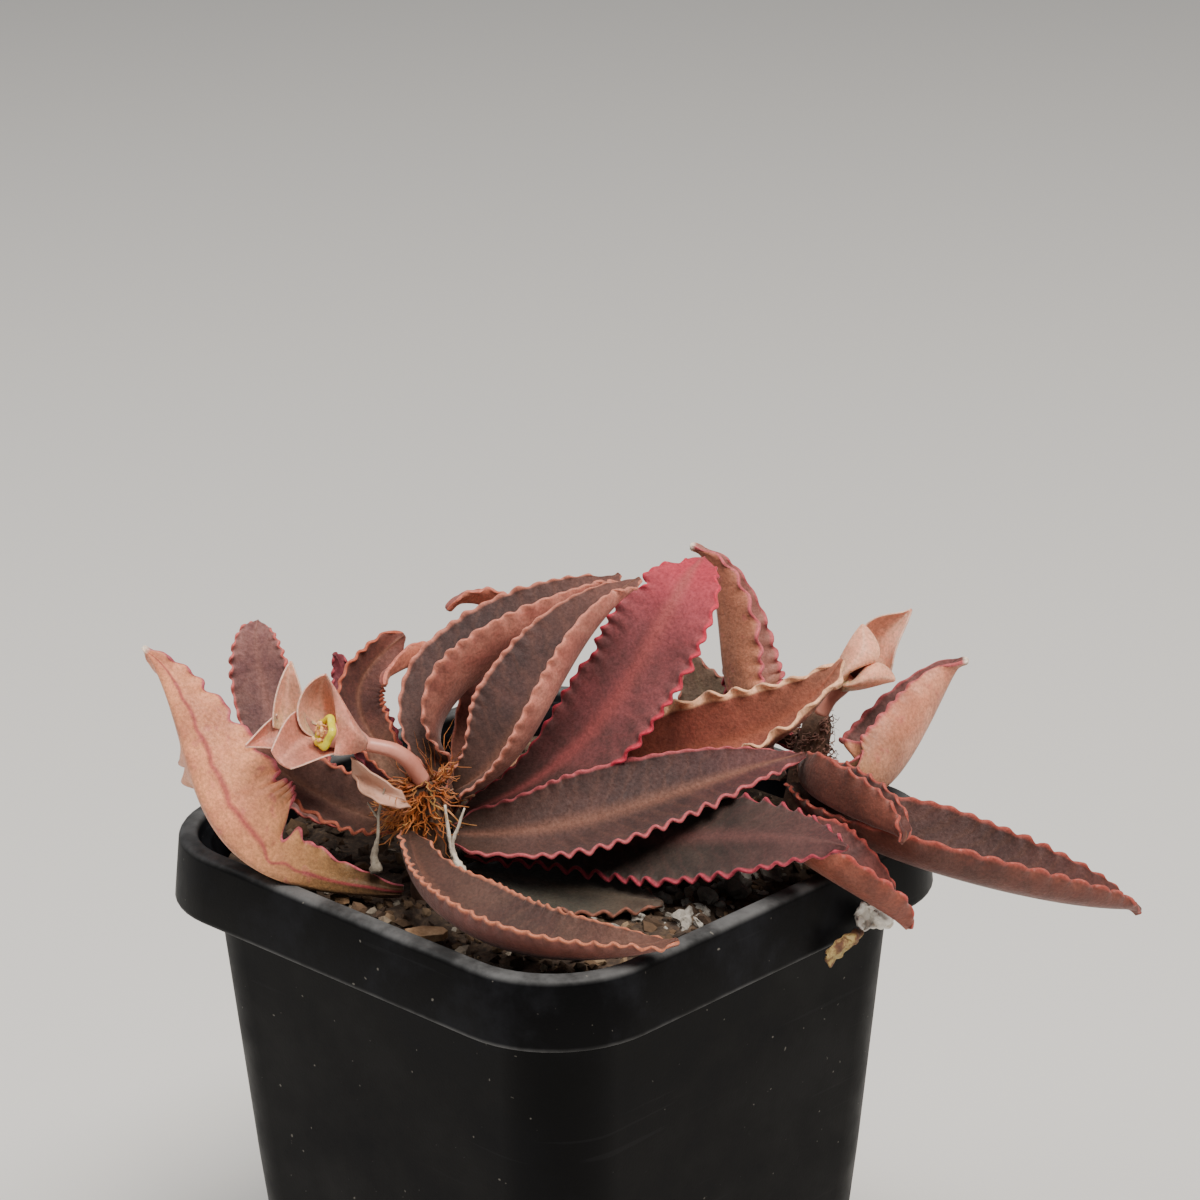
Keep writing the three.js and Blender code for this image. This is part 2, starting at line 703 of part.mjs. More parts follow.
function paperyScrap() {
  return leafSolid({
    path: [[36.6, 17.4, 69.6], [36.4, 13.2, 69.8], [36.2, 10.4, 67.6], [36.3, 7.2, 64.6]],
    face: [1, 0, 0.1], width: 3.8, cup: [10, 30, 10, 40], twist: 30, neck: 0.8, wave: 0.35, pitch: 2.2,
  });
}

// Soil and crowns.

const soilLevel = (x, y) =>
  SOIL_TOP + SOIL_RELIEF * Math.sin(x * 0.31 + 0.7) * Math.cos(y * 0.27 - 0.4) +
  SOIL_RELIEF * 0.5 * Math.sin(x * 0.9 + y * 0.7);

const potInside = (z) => {
  const low = POT_HEIGHT - BAND_HEIGHT;
  if (z <= low) {
    return bodyHalf(z) - WALL;
  }
  const top = POT_HEIGHT - STEP_DEPTH;
  const wide = BAND_HALF_TOP - LEDGE_WIDTH - STEP_SLOPE - STEP_WIDTH;
  return BODY_HALF_TOP - WALL + ((wide - (BODY_HALF_TOP - WALL)) * (z - low)) / (top - low);
};

function soilBody() {
  const corner = BODY_CORNER - WALL;
  const low = POT_HEIGHT - BAND_HEIGHT;
  const edgeLevel = SOIL_TOP - SOIL_EDGE_DROP;
  const half = potInside(edgeLevel) - SOIL_GAP - SOIL_EDGE_INSET;
  const edge = squareOutline(half, corner, edgeLevel);
  const under = [
    squareOutline(potInside(SOIL_UNDER) - SOIL_GAP - FOOT_ROUND, corner - 1, SOIL_UNDER),
    squareOutline(potInside(low) - SOIL_GAP, corner, low),
    edge,
  ];
  for (let k = 0; k < SOIL_RINGS; k += 1) {
    const share = 0.985 - k / SOIL_RINGS;
    const inner = edge.map(([x, y]) => [x * share, y * share, soilLevel(x * share, y * share)]);
    if (share > 0.05) {
      under.push(inner);
    }
  }
  return loft(under);
}

// Points spread over every blade, which the bristles and the gravel keep clear of.
const SAMPLE_PITCH = 0.7;
const SAMPLES_ACROSS = 8;
const leafSamples = [];
for (const leaf of LEAVES) {
  const stations = Math.round(leafLength(leaf) / SAMPLE_PITCH);
  for (let k = 0; k <= stations; k += 1) {
    for (let i = -SAMPLES_ACROSS; i <= SAMPLES_ACROSS; i += 1) {
      leafSamples.push(vec(bladePoint(leaf, k / stations, i / SAMPLES_ACROSS, 0, 0)));
    }
  }
}

const clearOfLeaves = (point, space) => leafSamples.every((p) => p.distanceTo(point) > space);

// Points along the flower stalks and twigs, which the bristles keep clear of too.
const STALK_SPOTS = [
  [-1, -19.4, 85.7],
  [-1.1, -20.4, 87.4],
  [-1.3, -21.4, 89],
  [3.2, -20.2, 84.1],
  [4.5, -20.5, 80],
  [-2.8, -21.9, 83.9],
  [-3.8, -23.6, 86],
  [-2.6, -24.8, 82.5],
  [18.9, 25.3, 86.4],
  [19.6, 26, 88],
];

const clearOfStalks = (p) => STALK_SPOTS.every((spot) => vec(spot).distanceTo(p) > STALK_CLEARANCE);

const CROWNS = [
  {
    name: "crown_left",
    color: 0x8a5a34,
    stem: [
      [-1, -19, STEM_FOOT, STEM_RADIUS],
      [-1, -19, SOIL_TOP, STEM_RADIUS],
      [-1, -19, 75, 2.05],
      [-1, -19, 80, 2.1],
      [-1, -19.1, 83.6, 1.9],
      [-1, -19.2, 85, 1.1],
    ],
    tuft: { centre: [-1, -19.3, 83.6], count: 90, length: 5.2, seed: 11 },
  },
  {
    name: "crown_right",
    color: 0x5d4f45,
    stem: [
      [16.8, 23.3, STEM_FOOT, STEM_RADIUS],
      [16.8, 23.3, SOIL_TOP, STEM_RADIUS],
      [17.3, 23.9, 76, 2],
      [18, 24.5, 81, 2],
      [18.6, 25, 84.6, 1.7],
      [18.8, 25.2, 85.8, 1],
    ],
    tuft: { centre: [18.4, 24.8, 83.6], count: 44, length: 3.6, seed: 23 },
  },
];

// Stipule bristles spring from the stem's head; one that would touch a leaf is left out.
function tuftOf({ centre, count, length, seed }) {
  const random = randomFrom(seed);
  const bristles = [];
  for (let k = 0; k < count; k += 1) {
    const heading = random() * 360 * TURN;
    const lift = (random() * 105 - 35) * TURN;
    const reach = length * (0.55 + 0.45 * random());
    const start = vec(centre).add(new THREE.Vector3(0, 0, (random() - 0.55) * 3.4));
    const way = new THREE.Vector3(
      Math.cos(heading) * Math.cos(lift),
      Math.sin(heading) * Math.cos(lift),
      Math.sin(lift),
    );
    const tip = start.clone().addScaledVector(way, reach);
    const knee = start.clone().addScaledVector(way, reach * 0.62);
    knee.z += reach * 0.09;
    const probes = [knee, tip, start.clone().addScaledVector(way, reach * 0.8)];
    const free = probes.every((p) => clearOfLeaves(p, BRISTLE_CLEARANCE) && clearOfStalks(p));
    if (free) {
      bristles.push(
        stalk(
          [
            [...start.toArray(), BRISTLE_ROOT],
            [...knee.toArray(), BRISTLE_ROOT * 0.8],
            [...tip.toArray(), BRISTLE_END],
          ],
          BRISTLE_SIDES,
        ),
      );
    }
  }
  return bristles;
}

function crown(plan) {
  return fused([stalk(plan.stem, STEM_SIDES), ...tuftOf(plan.tuft)]);
}

const offStems = (x, y) =>
  CROWNS.every(({ stem }) => Math.hypot(x - stem[1][0], y - stem[1][1]) > GRAVEL_OFF_STEM);

// True where a stone keeps off the pot's rounded inner corners.
function insideCorners(x, y) {
  const straight = potInside(SOIL_TOP) - BODY_CORNER;
  const overX = Math.max(0, Math.abs(x) - straight);
  const overY = Math.max(0, Math.abs(y) - straight);
  return Math.hypot(overX, overY) < BODY_CORNER - GRAVEL_OFF_WALL;
}

function soil() {
  let body = soilBody();
  const random = randomFrom(5);
  const stones = [];
  const reach = potInside(SOIL_TOP) - GRAVEL_OFF_WALL;
  let tries = 0;
  while (stones.length < GRAVEL_COUNT && tries < 900) {
    tries += 1;
    const x = (random() * 2 - 1) * reach;
    const y = (random() * 2 - 1) * reach;
    const size = GRAVEL_LEAST + (GRAVEL_MOST - GRAVEL_LEAST) * random() * random();
    const z = soilLevel(x, y) + size * 0.12;
    const top = new THREE.Vector3(x, y, z + size * 0.5);
    if (offStems(x, y) && insideCorners(x, y) && clearOfLeaves(top, GRAVEL_OFF_LEAF + size * 0.5)) {
      const stone = new THREE.IcosahedronGeometry(size, 0);
      stone.scale(0.8 + 0.4 * random(), 0.8 + 0.4 * random(), 0.62);
      stone.rotateZ(random() * 3);
      stone.rotateX(random() - 0.5);
      stone.translate(x, y, z);
      stones.push(solidFrom(stone));
    }
  }
  body = fused([body, ...stones]);
  for (const { stem } of CROWNS) {
    const [x, y] = stem[1];
    const wide = STEM_RADIUS + STEM_GAP;
    const post = new THREE.CylinderGeometry(wide, wide, 2 * STEM_HOLE_DEPTH, STEM_HOLE_SIDES);
    post.rotateX(90 * TURN);
    post.translate(x, y, SOIL_TOP);
    body = body.subtract(solidFrom(post));
  }
  return biggestBody(body);
}

// Assembly.

function finish(color, roughness) {
  return new THREE.MeshStandardMaterial({ color, roughness, metalness: 0 });
}

const root = new THREE.Group();
root.name = "root";

function place(name, solid, material) {
  const mesh = new THREE.Mesh(geometryFrom(solid), material);
  mesh.name = name;
  root.add(mesh);
}

place("pot", pot(), finish(0x1b1b1d, 0.55));
place("soil", soil(), finish(0x2c241e, 0.95));
for (const plan of CROWNS) {
  place(plan.name, crown(plan), finish(plan.color, 0.85));
}
for (const leaf of LEAVES) {
  place(leaf.name, leafSolid(leaf), finish(leaf.color, 0.6));
}
place("flower_left", flowerLeft(), finish(0xd9a9a0, 0.6));
place("flower_right", flowerRight(), finish(0xd9a9a0, 0.6));
place("bract_old", oldBract(), finish(0xa08a70, 0.7));
place("twig_forked", twigForked(), finish(0xb8aea0, 0.9));
place("twig_left", twigLeft(), finish(0x9a9286, 0.9));
place("chip_bark", flake([8.2, -28, 72.2], 5, 2.4, 0.8, 45, 3), finish(0xa88460, 0.9));
place("chip_pale", flake([-6, -28, 72.2], 2.6, 1.6, 0.7, 20, 9), finish(0xb89a78, 0.9));
place("scrap_papery", paperyScrap(), finish(0xb9ad9c, 0.9));

export default root;
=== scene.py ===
import json
import math
import random

import bmesh
import bpy
import numpy as np
from mathutils import Matrix, Vector, noise


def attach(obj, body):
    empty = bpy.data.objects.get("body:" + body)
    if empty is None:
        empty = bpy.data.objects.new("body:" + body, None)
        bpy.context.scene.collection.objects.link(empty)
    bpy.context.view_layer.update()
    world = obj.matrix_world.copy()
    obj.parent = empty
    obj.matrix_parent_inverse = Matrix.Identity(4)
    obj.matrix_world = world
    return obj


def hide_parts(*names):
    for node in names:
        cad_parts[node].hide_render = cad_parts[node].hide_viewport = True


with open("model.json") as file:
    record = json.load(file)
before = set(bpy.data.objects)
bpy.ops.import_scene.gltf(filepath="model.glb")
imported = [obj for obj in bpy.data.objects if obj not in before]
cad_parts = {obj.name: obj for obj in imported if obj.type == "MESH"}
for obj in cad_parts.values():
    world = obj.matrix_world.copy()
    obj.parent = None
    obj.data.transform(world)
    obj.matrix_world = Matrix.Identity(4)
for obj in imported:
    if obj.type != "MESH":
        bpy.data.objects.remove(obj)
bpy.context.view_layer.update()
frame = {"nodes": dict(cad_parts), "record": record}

MM = 0.001

# Blender's vector noise folds the thin dry sheets and starts from the clock unless seeded.
FOLD_SEED = 7
noise.seed_set(FOLD_SEED)

# The pot, as in the solids.
POT_HEIGHT = 75.0
BAND_HEIGHT = 8.1
BAND_HALF_TOP = 34.4
BAND_HALF_LOW = 35.0
BAND_CORNER = 13.2
BAND_WALL = 1.2
LEDGE_WIDTH = 2.0
STEP_DEPTH = 1.6
STEP_WIDTH = 1.1
STEP_SLOPE = 0.5
BODY_HALF_TOP = 30.2
BODY_CORNER = 9.0
BODY_TAPER = 0.071
WALL = 1.3
FLOOR_THICKNESS = 1.8
DRAIN_RADIUS = 2.6
DRAIN_OFFSET = 13.0
CORNER_STEPS = 12
FILLET_STEPS = 4

# The potting mix.
SOIL_TOP = 71.0
SOIL_RELIEF = 0.55
SOIL_GRID = 110
# The loose top lies this far over the mix's own level and dips at the wall.
TOP_LIFT = 0.25
WALL_DIP = 1.2
TOP_DEPTH = 2.0
CRUMB_COUNT = 1500
GRIT_REACH = 27
GRIT_CHIPS = 6
GRIT_SPOTS = [
    (24.3, 4.4, 2.1), (24.0, 0.4, 1.7), (21.6, 7.2, 1.9), (19.4, -2.4, 1.2), (24.6, -4.4, 1.5),
    (20.4, -7.4, 1.1), (17.2, 4.2, 1.4), (19.8, -11.6, 1.0), (15.4, -16.0, 1.2), (23.6, 11.4, 1.6),
    (-20.5, 12.0, 1.7), (-8.5, 21.0, 1.4), (-22.0, -4.0, 1.5), (6.0, 20.5, 1.3), (-14.0, 4.5, 1.1),
]

# The leaves.
WAVE_PITCH = 2.4
WAVE_HEIGHT = 0.48
LEAST_HALF_WIDTH = 0.25
MIDRIB_THICKNESS = 0.95
MARGIN_THICKNESS = 0.4
TIP_TAPER = [2.3, 0.95]
# The frill is as high as this power of the way out to the margin; its height wanders by the
# ragged share and its place by the drift.
FRILL_POWER = 11
RAGGED = 0.65
DRIFT = 1.5
SCALLOP = 0.5
GROOVE_DEPTH = 0.22
GROOVE_WIDTH = 0.1
# Hooked tips bend down over the last share of the leaf.
HOOK_START = 0.94
HOOK_SHARE = 0.06
HOOK_DROP = 1.1
# Broad leaves and narrow ones: columns across; coarse and fine frills: mm from row to row.
BROAD_LEAF = 7.5
BROAD_COLUMNS = 26
NARROW_COLUMNS = 18
FINE_PITCH = 2
FINE_ROW = 0.4
COARSE_ROW = 0.46
SHEET_COLUMNS = 16

def leaf_row(name, skin, width, neck, cup, face, path, twist=0, **more):
    """A leaf's width at its broadest, the share of it at the foot, the angles of its two halves
    up from the midrib (left, then right), the way it faces and four points of its midrib.
    More: twist in degrees; tip, its taper; swell, where the full width starts; wave and pitch,
    the frill's height and length in mm; pucker, how far in the frill is felt; hook, a tip bent
    down; bites, notches of one margin by side, place, depth and breadth; peeks, places where
    the far half opens a little; rib_at, how far off the fold the midrib is seen."""
    shape = {"width": width, "neck": neck, "cup": cup, "face": face, "path": path, "twist": twist}
    return {"name": name, "skin": skin, **shape, **more}


LEAVES = [
    leaf_row(
        "leaf_peach_left", "peach", 19.5, 0.2, [15, 30, 50, 88], [-0.5, 0.8, 0.1],
        [[-1.5, -22.5, 73], [-12.5, -36, 78.2], [-20.5, -36.5, 87.5], [-29, -35, 99]],
        twist=5, tip=[2.0, 1.0], wave=0.4, pitch=2.2, hook=1, rib_at=0.3,
        peeks=[[0.66, 0.022, 42], [0.71, 0.02, 36]],
        bites=[[1, 0.27, 0.5, 0.03], [1, 0.2, 0.2, 0.02], [1, 0.5, 0.12, 0.025],
               [1, 0.64, 0.12, 0.02], [1, 0.75, 0.16, 0.02], [1, 0.84, 0.14, 0.016]],
    ),
    leaf_row(
        "leaf_upright_left", "mauve", 8, 0.3, [5, 25, 5, 30], [0.6, -0.7, 0.4],
        [[-4.5, -18, 81.5], [-18.5, -20.5, 80.5], [-25.5, -21, 90.5], [-28.5, -19, 97.5]],
        twist=5, tip=[3.2, 0.8], wave=0.5, pitch=1.6,
    ),
    leaf_row(
        "leaf_under_flower", "umber", 8.5, 0.35, [15, 60, 15, 45], [0.5, -0.4, 0.7],
        [[-4, -20.5, 80], [-8, -23, 80.5], [-13.5, -27, 84], [-21, -29, 88.5]],
        wave=0.45, pitch=2.0,
    ),
    leaf_row(
        "leaf_crimped_left", "brick", 6.5, 0.35, [20, 50, 20, 50], [0.8, -0.5, 0.3],
        [[-4.6, -18, 83], [-12, -17, 87.3], [-15, -16, 92], [-14, -9.5, 97]],
        tip=[4, 0.6], wave=0.42, pitch=1.5,
    ),
    leaf_row(
        "leaf_small_dark", "wine", 6.5, 0.3, [15, 40, 15, 40], [0.6, -0.6, 0.5],
        [[-4.5, -17, 79], [-14, -14, 84], [-21, -11, 87.5], [-24.5, -11, 92.5]],
        pitch=1.8,
    ),
    leaf_row(
        "leaf_claw", "rose", 5.2, 0.2, [20, 75, 20, 75], [-0.4, 0.7, 0.45],
        [[-3, -16.2, 83.2], [-8.7, -11.1, 92.2], [-10.4, -11.4, 95.2], [-10.4, -17.2, 94.7]],
        tip=[3, 0.8], wave=0.2, hook=1,
    ),
    leaf_row(
        "leaf_curled_back", "rose", 6, 0.35, [20, 60, 20, 60], [-0.2, 0.4, 0.9],
        [[-1.5, -14.8, 80], [-7.8, -3.5, 88.4], [-10, 1.5, 96.5], [-13.5, -3.5, 99.5]],
        tip=[4, 0.7], wave=0.3, hook=1,
    ),
    leaf_row(
        "leaf_arched_far", "ash", 14.8, 0.3, [30, 50, 22, 98], [-0.2, -0.2, 1],
        [[-1, -16.3, 85.9], [-3, -12.5, 93], [0, -2.5, 98.5], [3, 8.5, 103.5]],
        twist=25, wave=0.42, pitch=1.7,
    ),
    leaf_row(
        "leaf_arched_near", "ash", 14.0, 0.35, [5, 35, 15, 118], [0.1, -0.9, 0.5],
        [[1, -16.5, 84], [6.9, -12.3, 91], [9, -6, 99.5], [11.5, 3, 106.5]],
        twist=-30, wave=0.42, pitch=1.7,
    ),
    leaf_row(
        "leaf_crimson", "crimson", 13.2, 0.34, [-15, 0, 10, 30], [0.4, -0.6, 0.7],
        [[0.5, -15, 80.5], [6.6, -0.7, 87.4], [11.5, 5.8, 99.5], [10.5, 14.5, 105.5]],
        twist=10, tip=[3.4, 0.8], swell=0.42, wave=0.42, pitch=2.0, pucker=0.2,
        bites=[[1, 0.78, 0.28, 0.025], [1, 0.94, 0.45, 0.014],
               [-1, 0.9, 0.14, 0.014], [1, 0.5, 0.12, 0.02]],
    ),
    leaf_row(
        "leaf_long_front", "ash_rose", 11.5, 0.5, [0, 30, 5, 55], [0.3, -0.7, 0.7],
        [[2, -18, 79.5], [11.5, -8.5, 80.5], [18.5, 2.5, 83], [25.5, 15, 85.5]],
        twist=-15, wave=0.42, pitch=2.1, pucker=0.2,
    ),
    leaf_row(
        "leaf_front_low", "coral", 12.5, 0.35, [20, 55, 10, 85], [0.2, 0.1, 1],
        [[-0.5, -22.5, 80.5], [12.5, -28.5, 76.5], [25.5, -27, 75.5], [37, -18.5, 77.5]],
        twist=5, wave=0.42, pitch=1.8,
    ),
    leaf_row(
        "leaf_soil_level", "moss", 10.5, 0.3, [-8, 0, 5, 20], [0.2, -0.2, 1],
        [[2.5, -17.5, 75], [8, -12, 73.3], [15, -8, 72.5], [22, -5, 72.7]],
    ),
    leaf_row(
        "leaf_dark_front", "moss_red", 13, 0.25, [-15, -10, 5, 25], [0.5, -0.5, 0.7],
        [[2, -16.5, 77], [12, -4, 77], [27, 1.5, 80.1], [42.5, 2.5, 83]],
        twist=5, swell=0.55,
    ),
    leaf_row(
        "leaf_orange", "orange", 14.5, 0.2, [10, 25, 0, 130], [0.5, -0.7, 0.5],
        [[-1, -15, 82.5], [1.5, 3.8, 80.1], [14, 15, 83.8], [24, 23, 94.5]],
        twist=-5, swell=0.7, wave=0.95, pitch=4.0,
    ),
    leaf_row(
        "leaf_long_right", "russet", 14.5, 0.3, [35, 60, 5, 100], [0, -0.1, 1],
        [[19.5, 20.5, 78.5], [33.5, 17, 76.5], [47, 27, 71.5], [54.5, 40, 67.5]],
        swell=0.5, hook=1,
    ),
    leaf_row(
        "leaf_hooked_right", "russet", 10.5, 0.25, [60, 110, 25, 75], [0.3, 0.65, 0.7],
        [[20.8, 21.5, 81.2], [27.2, 14.5, 81.6], [35.8, 13.2, 81.3], [42, 13, 81]],
        twist=-5, hook=1,
    ),
    leaf_row(
        "leaf_raised_right", "blush", 15, 0.4, [70, 72, 20, 116], [-0.62, -0.34, 0.7],
        [[20.6, 25.3, 79.5], [27.2, 26, 78.6], [26.8, 34, 83.2], [27.5, 40, 91]],
        wave=0.35, pitch=2.2, hook=1,
    ),
    leaf_row(
        "leaf_upright_right", "tan", 13.5, 0.4, [35, 60, 45, 75], [0.6, 0.5, 0.6],
        [[15, 25.5, 82], [7.5, 23, 85], [5.5, 23, 94], [2.5, 22, 104]],
        twist=35, wave=0.45, pitch=2.2, hook=1,
    ),
    leaf_row(
        "leaf_over_rim", "russet_red", 12, 0.25, [20, 45, 15, 118], [0.2, 0, 1],
        [[18, 20, 75], [28.5, 8.5, 77.7], [37.5, 9.5, 74.5], [41, 15, 69]],
        swell=0.5,
    ),
    leaf_row(
        "leaf_grey_back", "grey_green", 9, 0.3, [5, 20, 5, 20], [0.5, -0.7, 0.5],
        [[14.6, 23.6, 77], [2, 29.5, 77], [-4, 31, 79.5], [-7, 31, 85]],
    ),
    leaf_row(
        "leaf_crinkled_back", "wine", 6, 0.4, [5, 20, 5, 20], [0.7, -0.5, 0.5],
        [[15.5, 27, 80], [8.5, 26.5, 82.5], [5.5, 26.5, 85.5], [3, 26, 89]],
        pitch=1.6,
    ),
]

# Leaf colours: upper face and its mottling, midrib, margin, underside and its mottling,
# and the tint towards the leaf's foot, darkened on some leaves as painted shade.
SKINS = {
    "peach": ("D08A62", "BF7A56", "9A3A44", "B0525C", "DC9268", "CC8260", "8A6E40"),
    "mauve": ("7A5853", "624444", "8C6058", "C4625C", "A46654", "92503F", "62423A"),
    "umber": ("50332C", "5E3F36", "75503F", "B0604A", "9C5C46", "884C3A", "644638"),
    "brick": ("5A342E", "482A26", "744A38", "B45E46", "96583F", "844836", "6A4832"),
    "wine": ("6E2C36", "562229", "7E3C40", "A03C46", "84363A", "6C2A2E", "4E2A28"),
    "rose": ("7E4640", "6C3833", "905646", "C4705C", "C07A62", "AC6450", "8E5C4A"),
    "ash": ("462D29", "382523", "764C3B", "C07662", "B07060", "98564A", "4A3029"),
    "ash_rose": ("462D29", "382523", "7A5040", "B05358", "B07060", "98564A", "4A3029"),
    "crimson": ("804648", "643C3C", "9C4E4C", "C03448", "763032", "62292A", "46302A"),
    "coral": ("402A25", "4A342C", "6C4638", "B46C50", "683830", "582E26", "50332A"),
    "moss": ("3C362C", "302C24", "4A4034", "7A4A3A", "4E4032", "40342A", "30302A"),
    "moss_red": ("3C2F29", "302621", "603C38", "A03645", "6A302C", "562826", "302420"),
    "orange": ("864638", "72382D", "9C5A44", "F2B890", "884A3C", "763B2F", "4A2A1C"),
    "russet": ("4C302B", "402724", "664028", "A04C40", "6E3E32", "5E3329", "4E332A"),
    "russet_red": ("5A302C", "4A2825", "6C3830", "AC4A42", "8A4C3A", "763E2F", "583630"),
    "blush": ("64403C", "54342F", "7A4C44", "B4585A", "CE8E70", "BC785C", "B0845F"),
    "tan": ("A06A60", "8E5C52", "A46E5E", "BC5A60", "B47458", "A4684E", "987048"),
    "grey_green": ("5E4E40", "4E4234", "6C5A48", "985C4E", "6A5644", "5A4838", "4A3E34"),
}
TIP_COLOUR = "F2E2CE"
# Dark brown painted shade at each leaf's foot, where it sinks among the crown.
FOOT_SHADE = "3A2419"
# Pale-tipped leaves, leaves flushed with their margin's colour towards the tip, broader rims,
# and a midrib seen off the fold.
TIPPED = ("peach", "blush", "tan")
FLUSHED = {"crimson": 0.75}
RIM_FROM = {"orange": 0.8}
RIM_WIDTH = 0.085
RIB_AT = {"peach": 0.3}

# Settings that many shader nodes share: a soft step, a blend of two colours, one colour
# darkened or lightened by another, and three kinds of sum.
SOFT = {"interpolation_type": "SMOOTHSTEP"}
BLEND = {"data_type": "RGBA"}
SHADING = {"data_type": "RGBA", "blend_type": "MULTIPLY"}
TIMES = {"operation": "MULTIPLY"}
TIMES_PLUS = {"operation": "MULTIPLY_ADD"}
ABSOLUTE = {"operation": "ABSOLUTE"}


def linear(hex_colour):
    """An sRGB hex colour as linear red, green, blue and full alpha."""
    parts = [int(hex_colour[i : i + 2], 16) / 255 for i in (0, 2, 4)]
    parts = [c / 12.92 if c <= 0.04045 else ((c + 0.055) / 1.055) ** 2.4 for c in parts]
    return (*parts, 1.0)


def fill(tree, node, values, links):
    """Sets some of a node's inputs and links others."""
    for key, value in (values or {}).items():
        node.inputs[key].default_value = value
    for key, (source, output) in (links or {}).items():
        tree.links.new(source.outputs[output], node.inputs[key])


def add(tree, kind, settings=None, values=None, links=None, stops=None):
    """Adds one shader node with its settings, input values, links and colour stops."""
    made = tree.nodes.new("ShaderNode" + kind)
    for key, value in (settings or {}).items():
        setattr(made, key, value)
    fill(tree, made, values, links)
    if stops:
        ramp = made.color_ramp
        while len(ramp.elements) < len(stops):
            ramp.elements.new(1.0)
        for element, (place, hex_colour) in zip(ramp.elements, stops):
            element.position = place
            element.color = linear(hex_colour)
    return made


def new_material(name):
    """An empty material with its tree, shader and Object coordinates."""
    material = bpy.data.materials.new(name)
    material.use_nodes = True
    tree = material.node_tree
    tree.nodes.clear()
    shader = add(tree, "BsdfPrincipled")
    add(tree, "OutputMaterial", links={"Surface": (shader, "BSDF")})
    place = add(tree, "TexCoord")
    return material, tree, shader, place


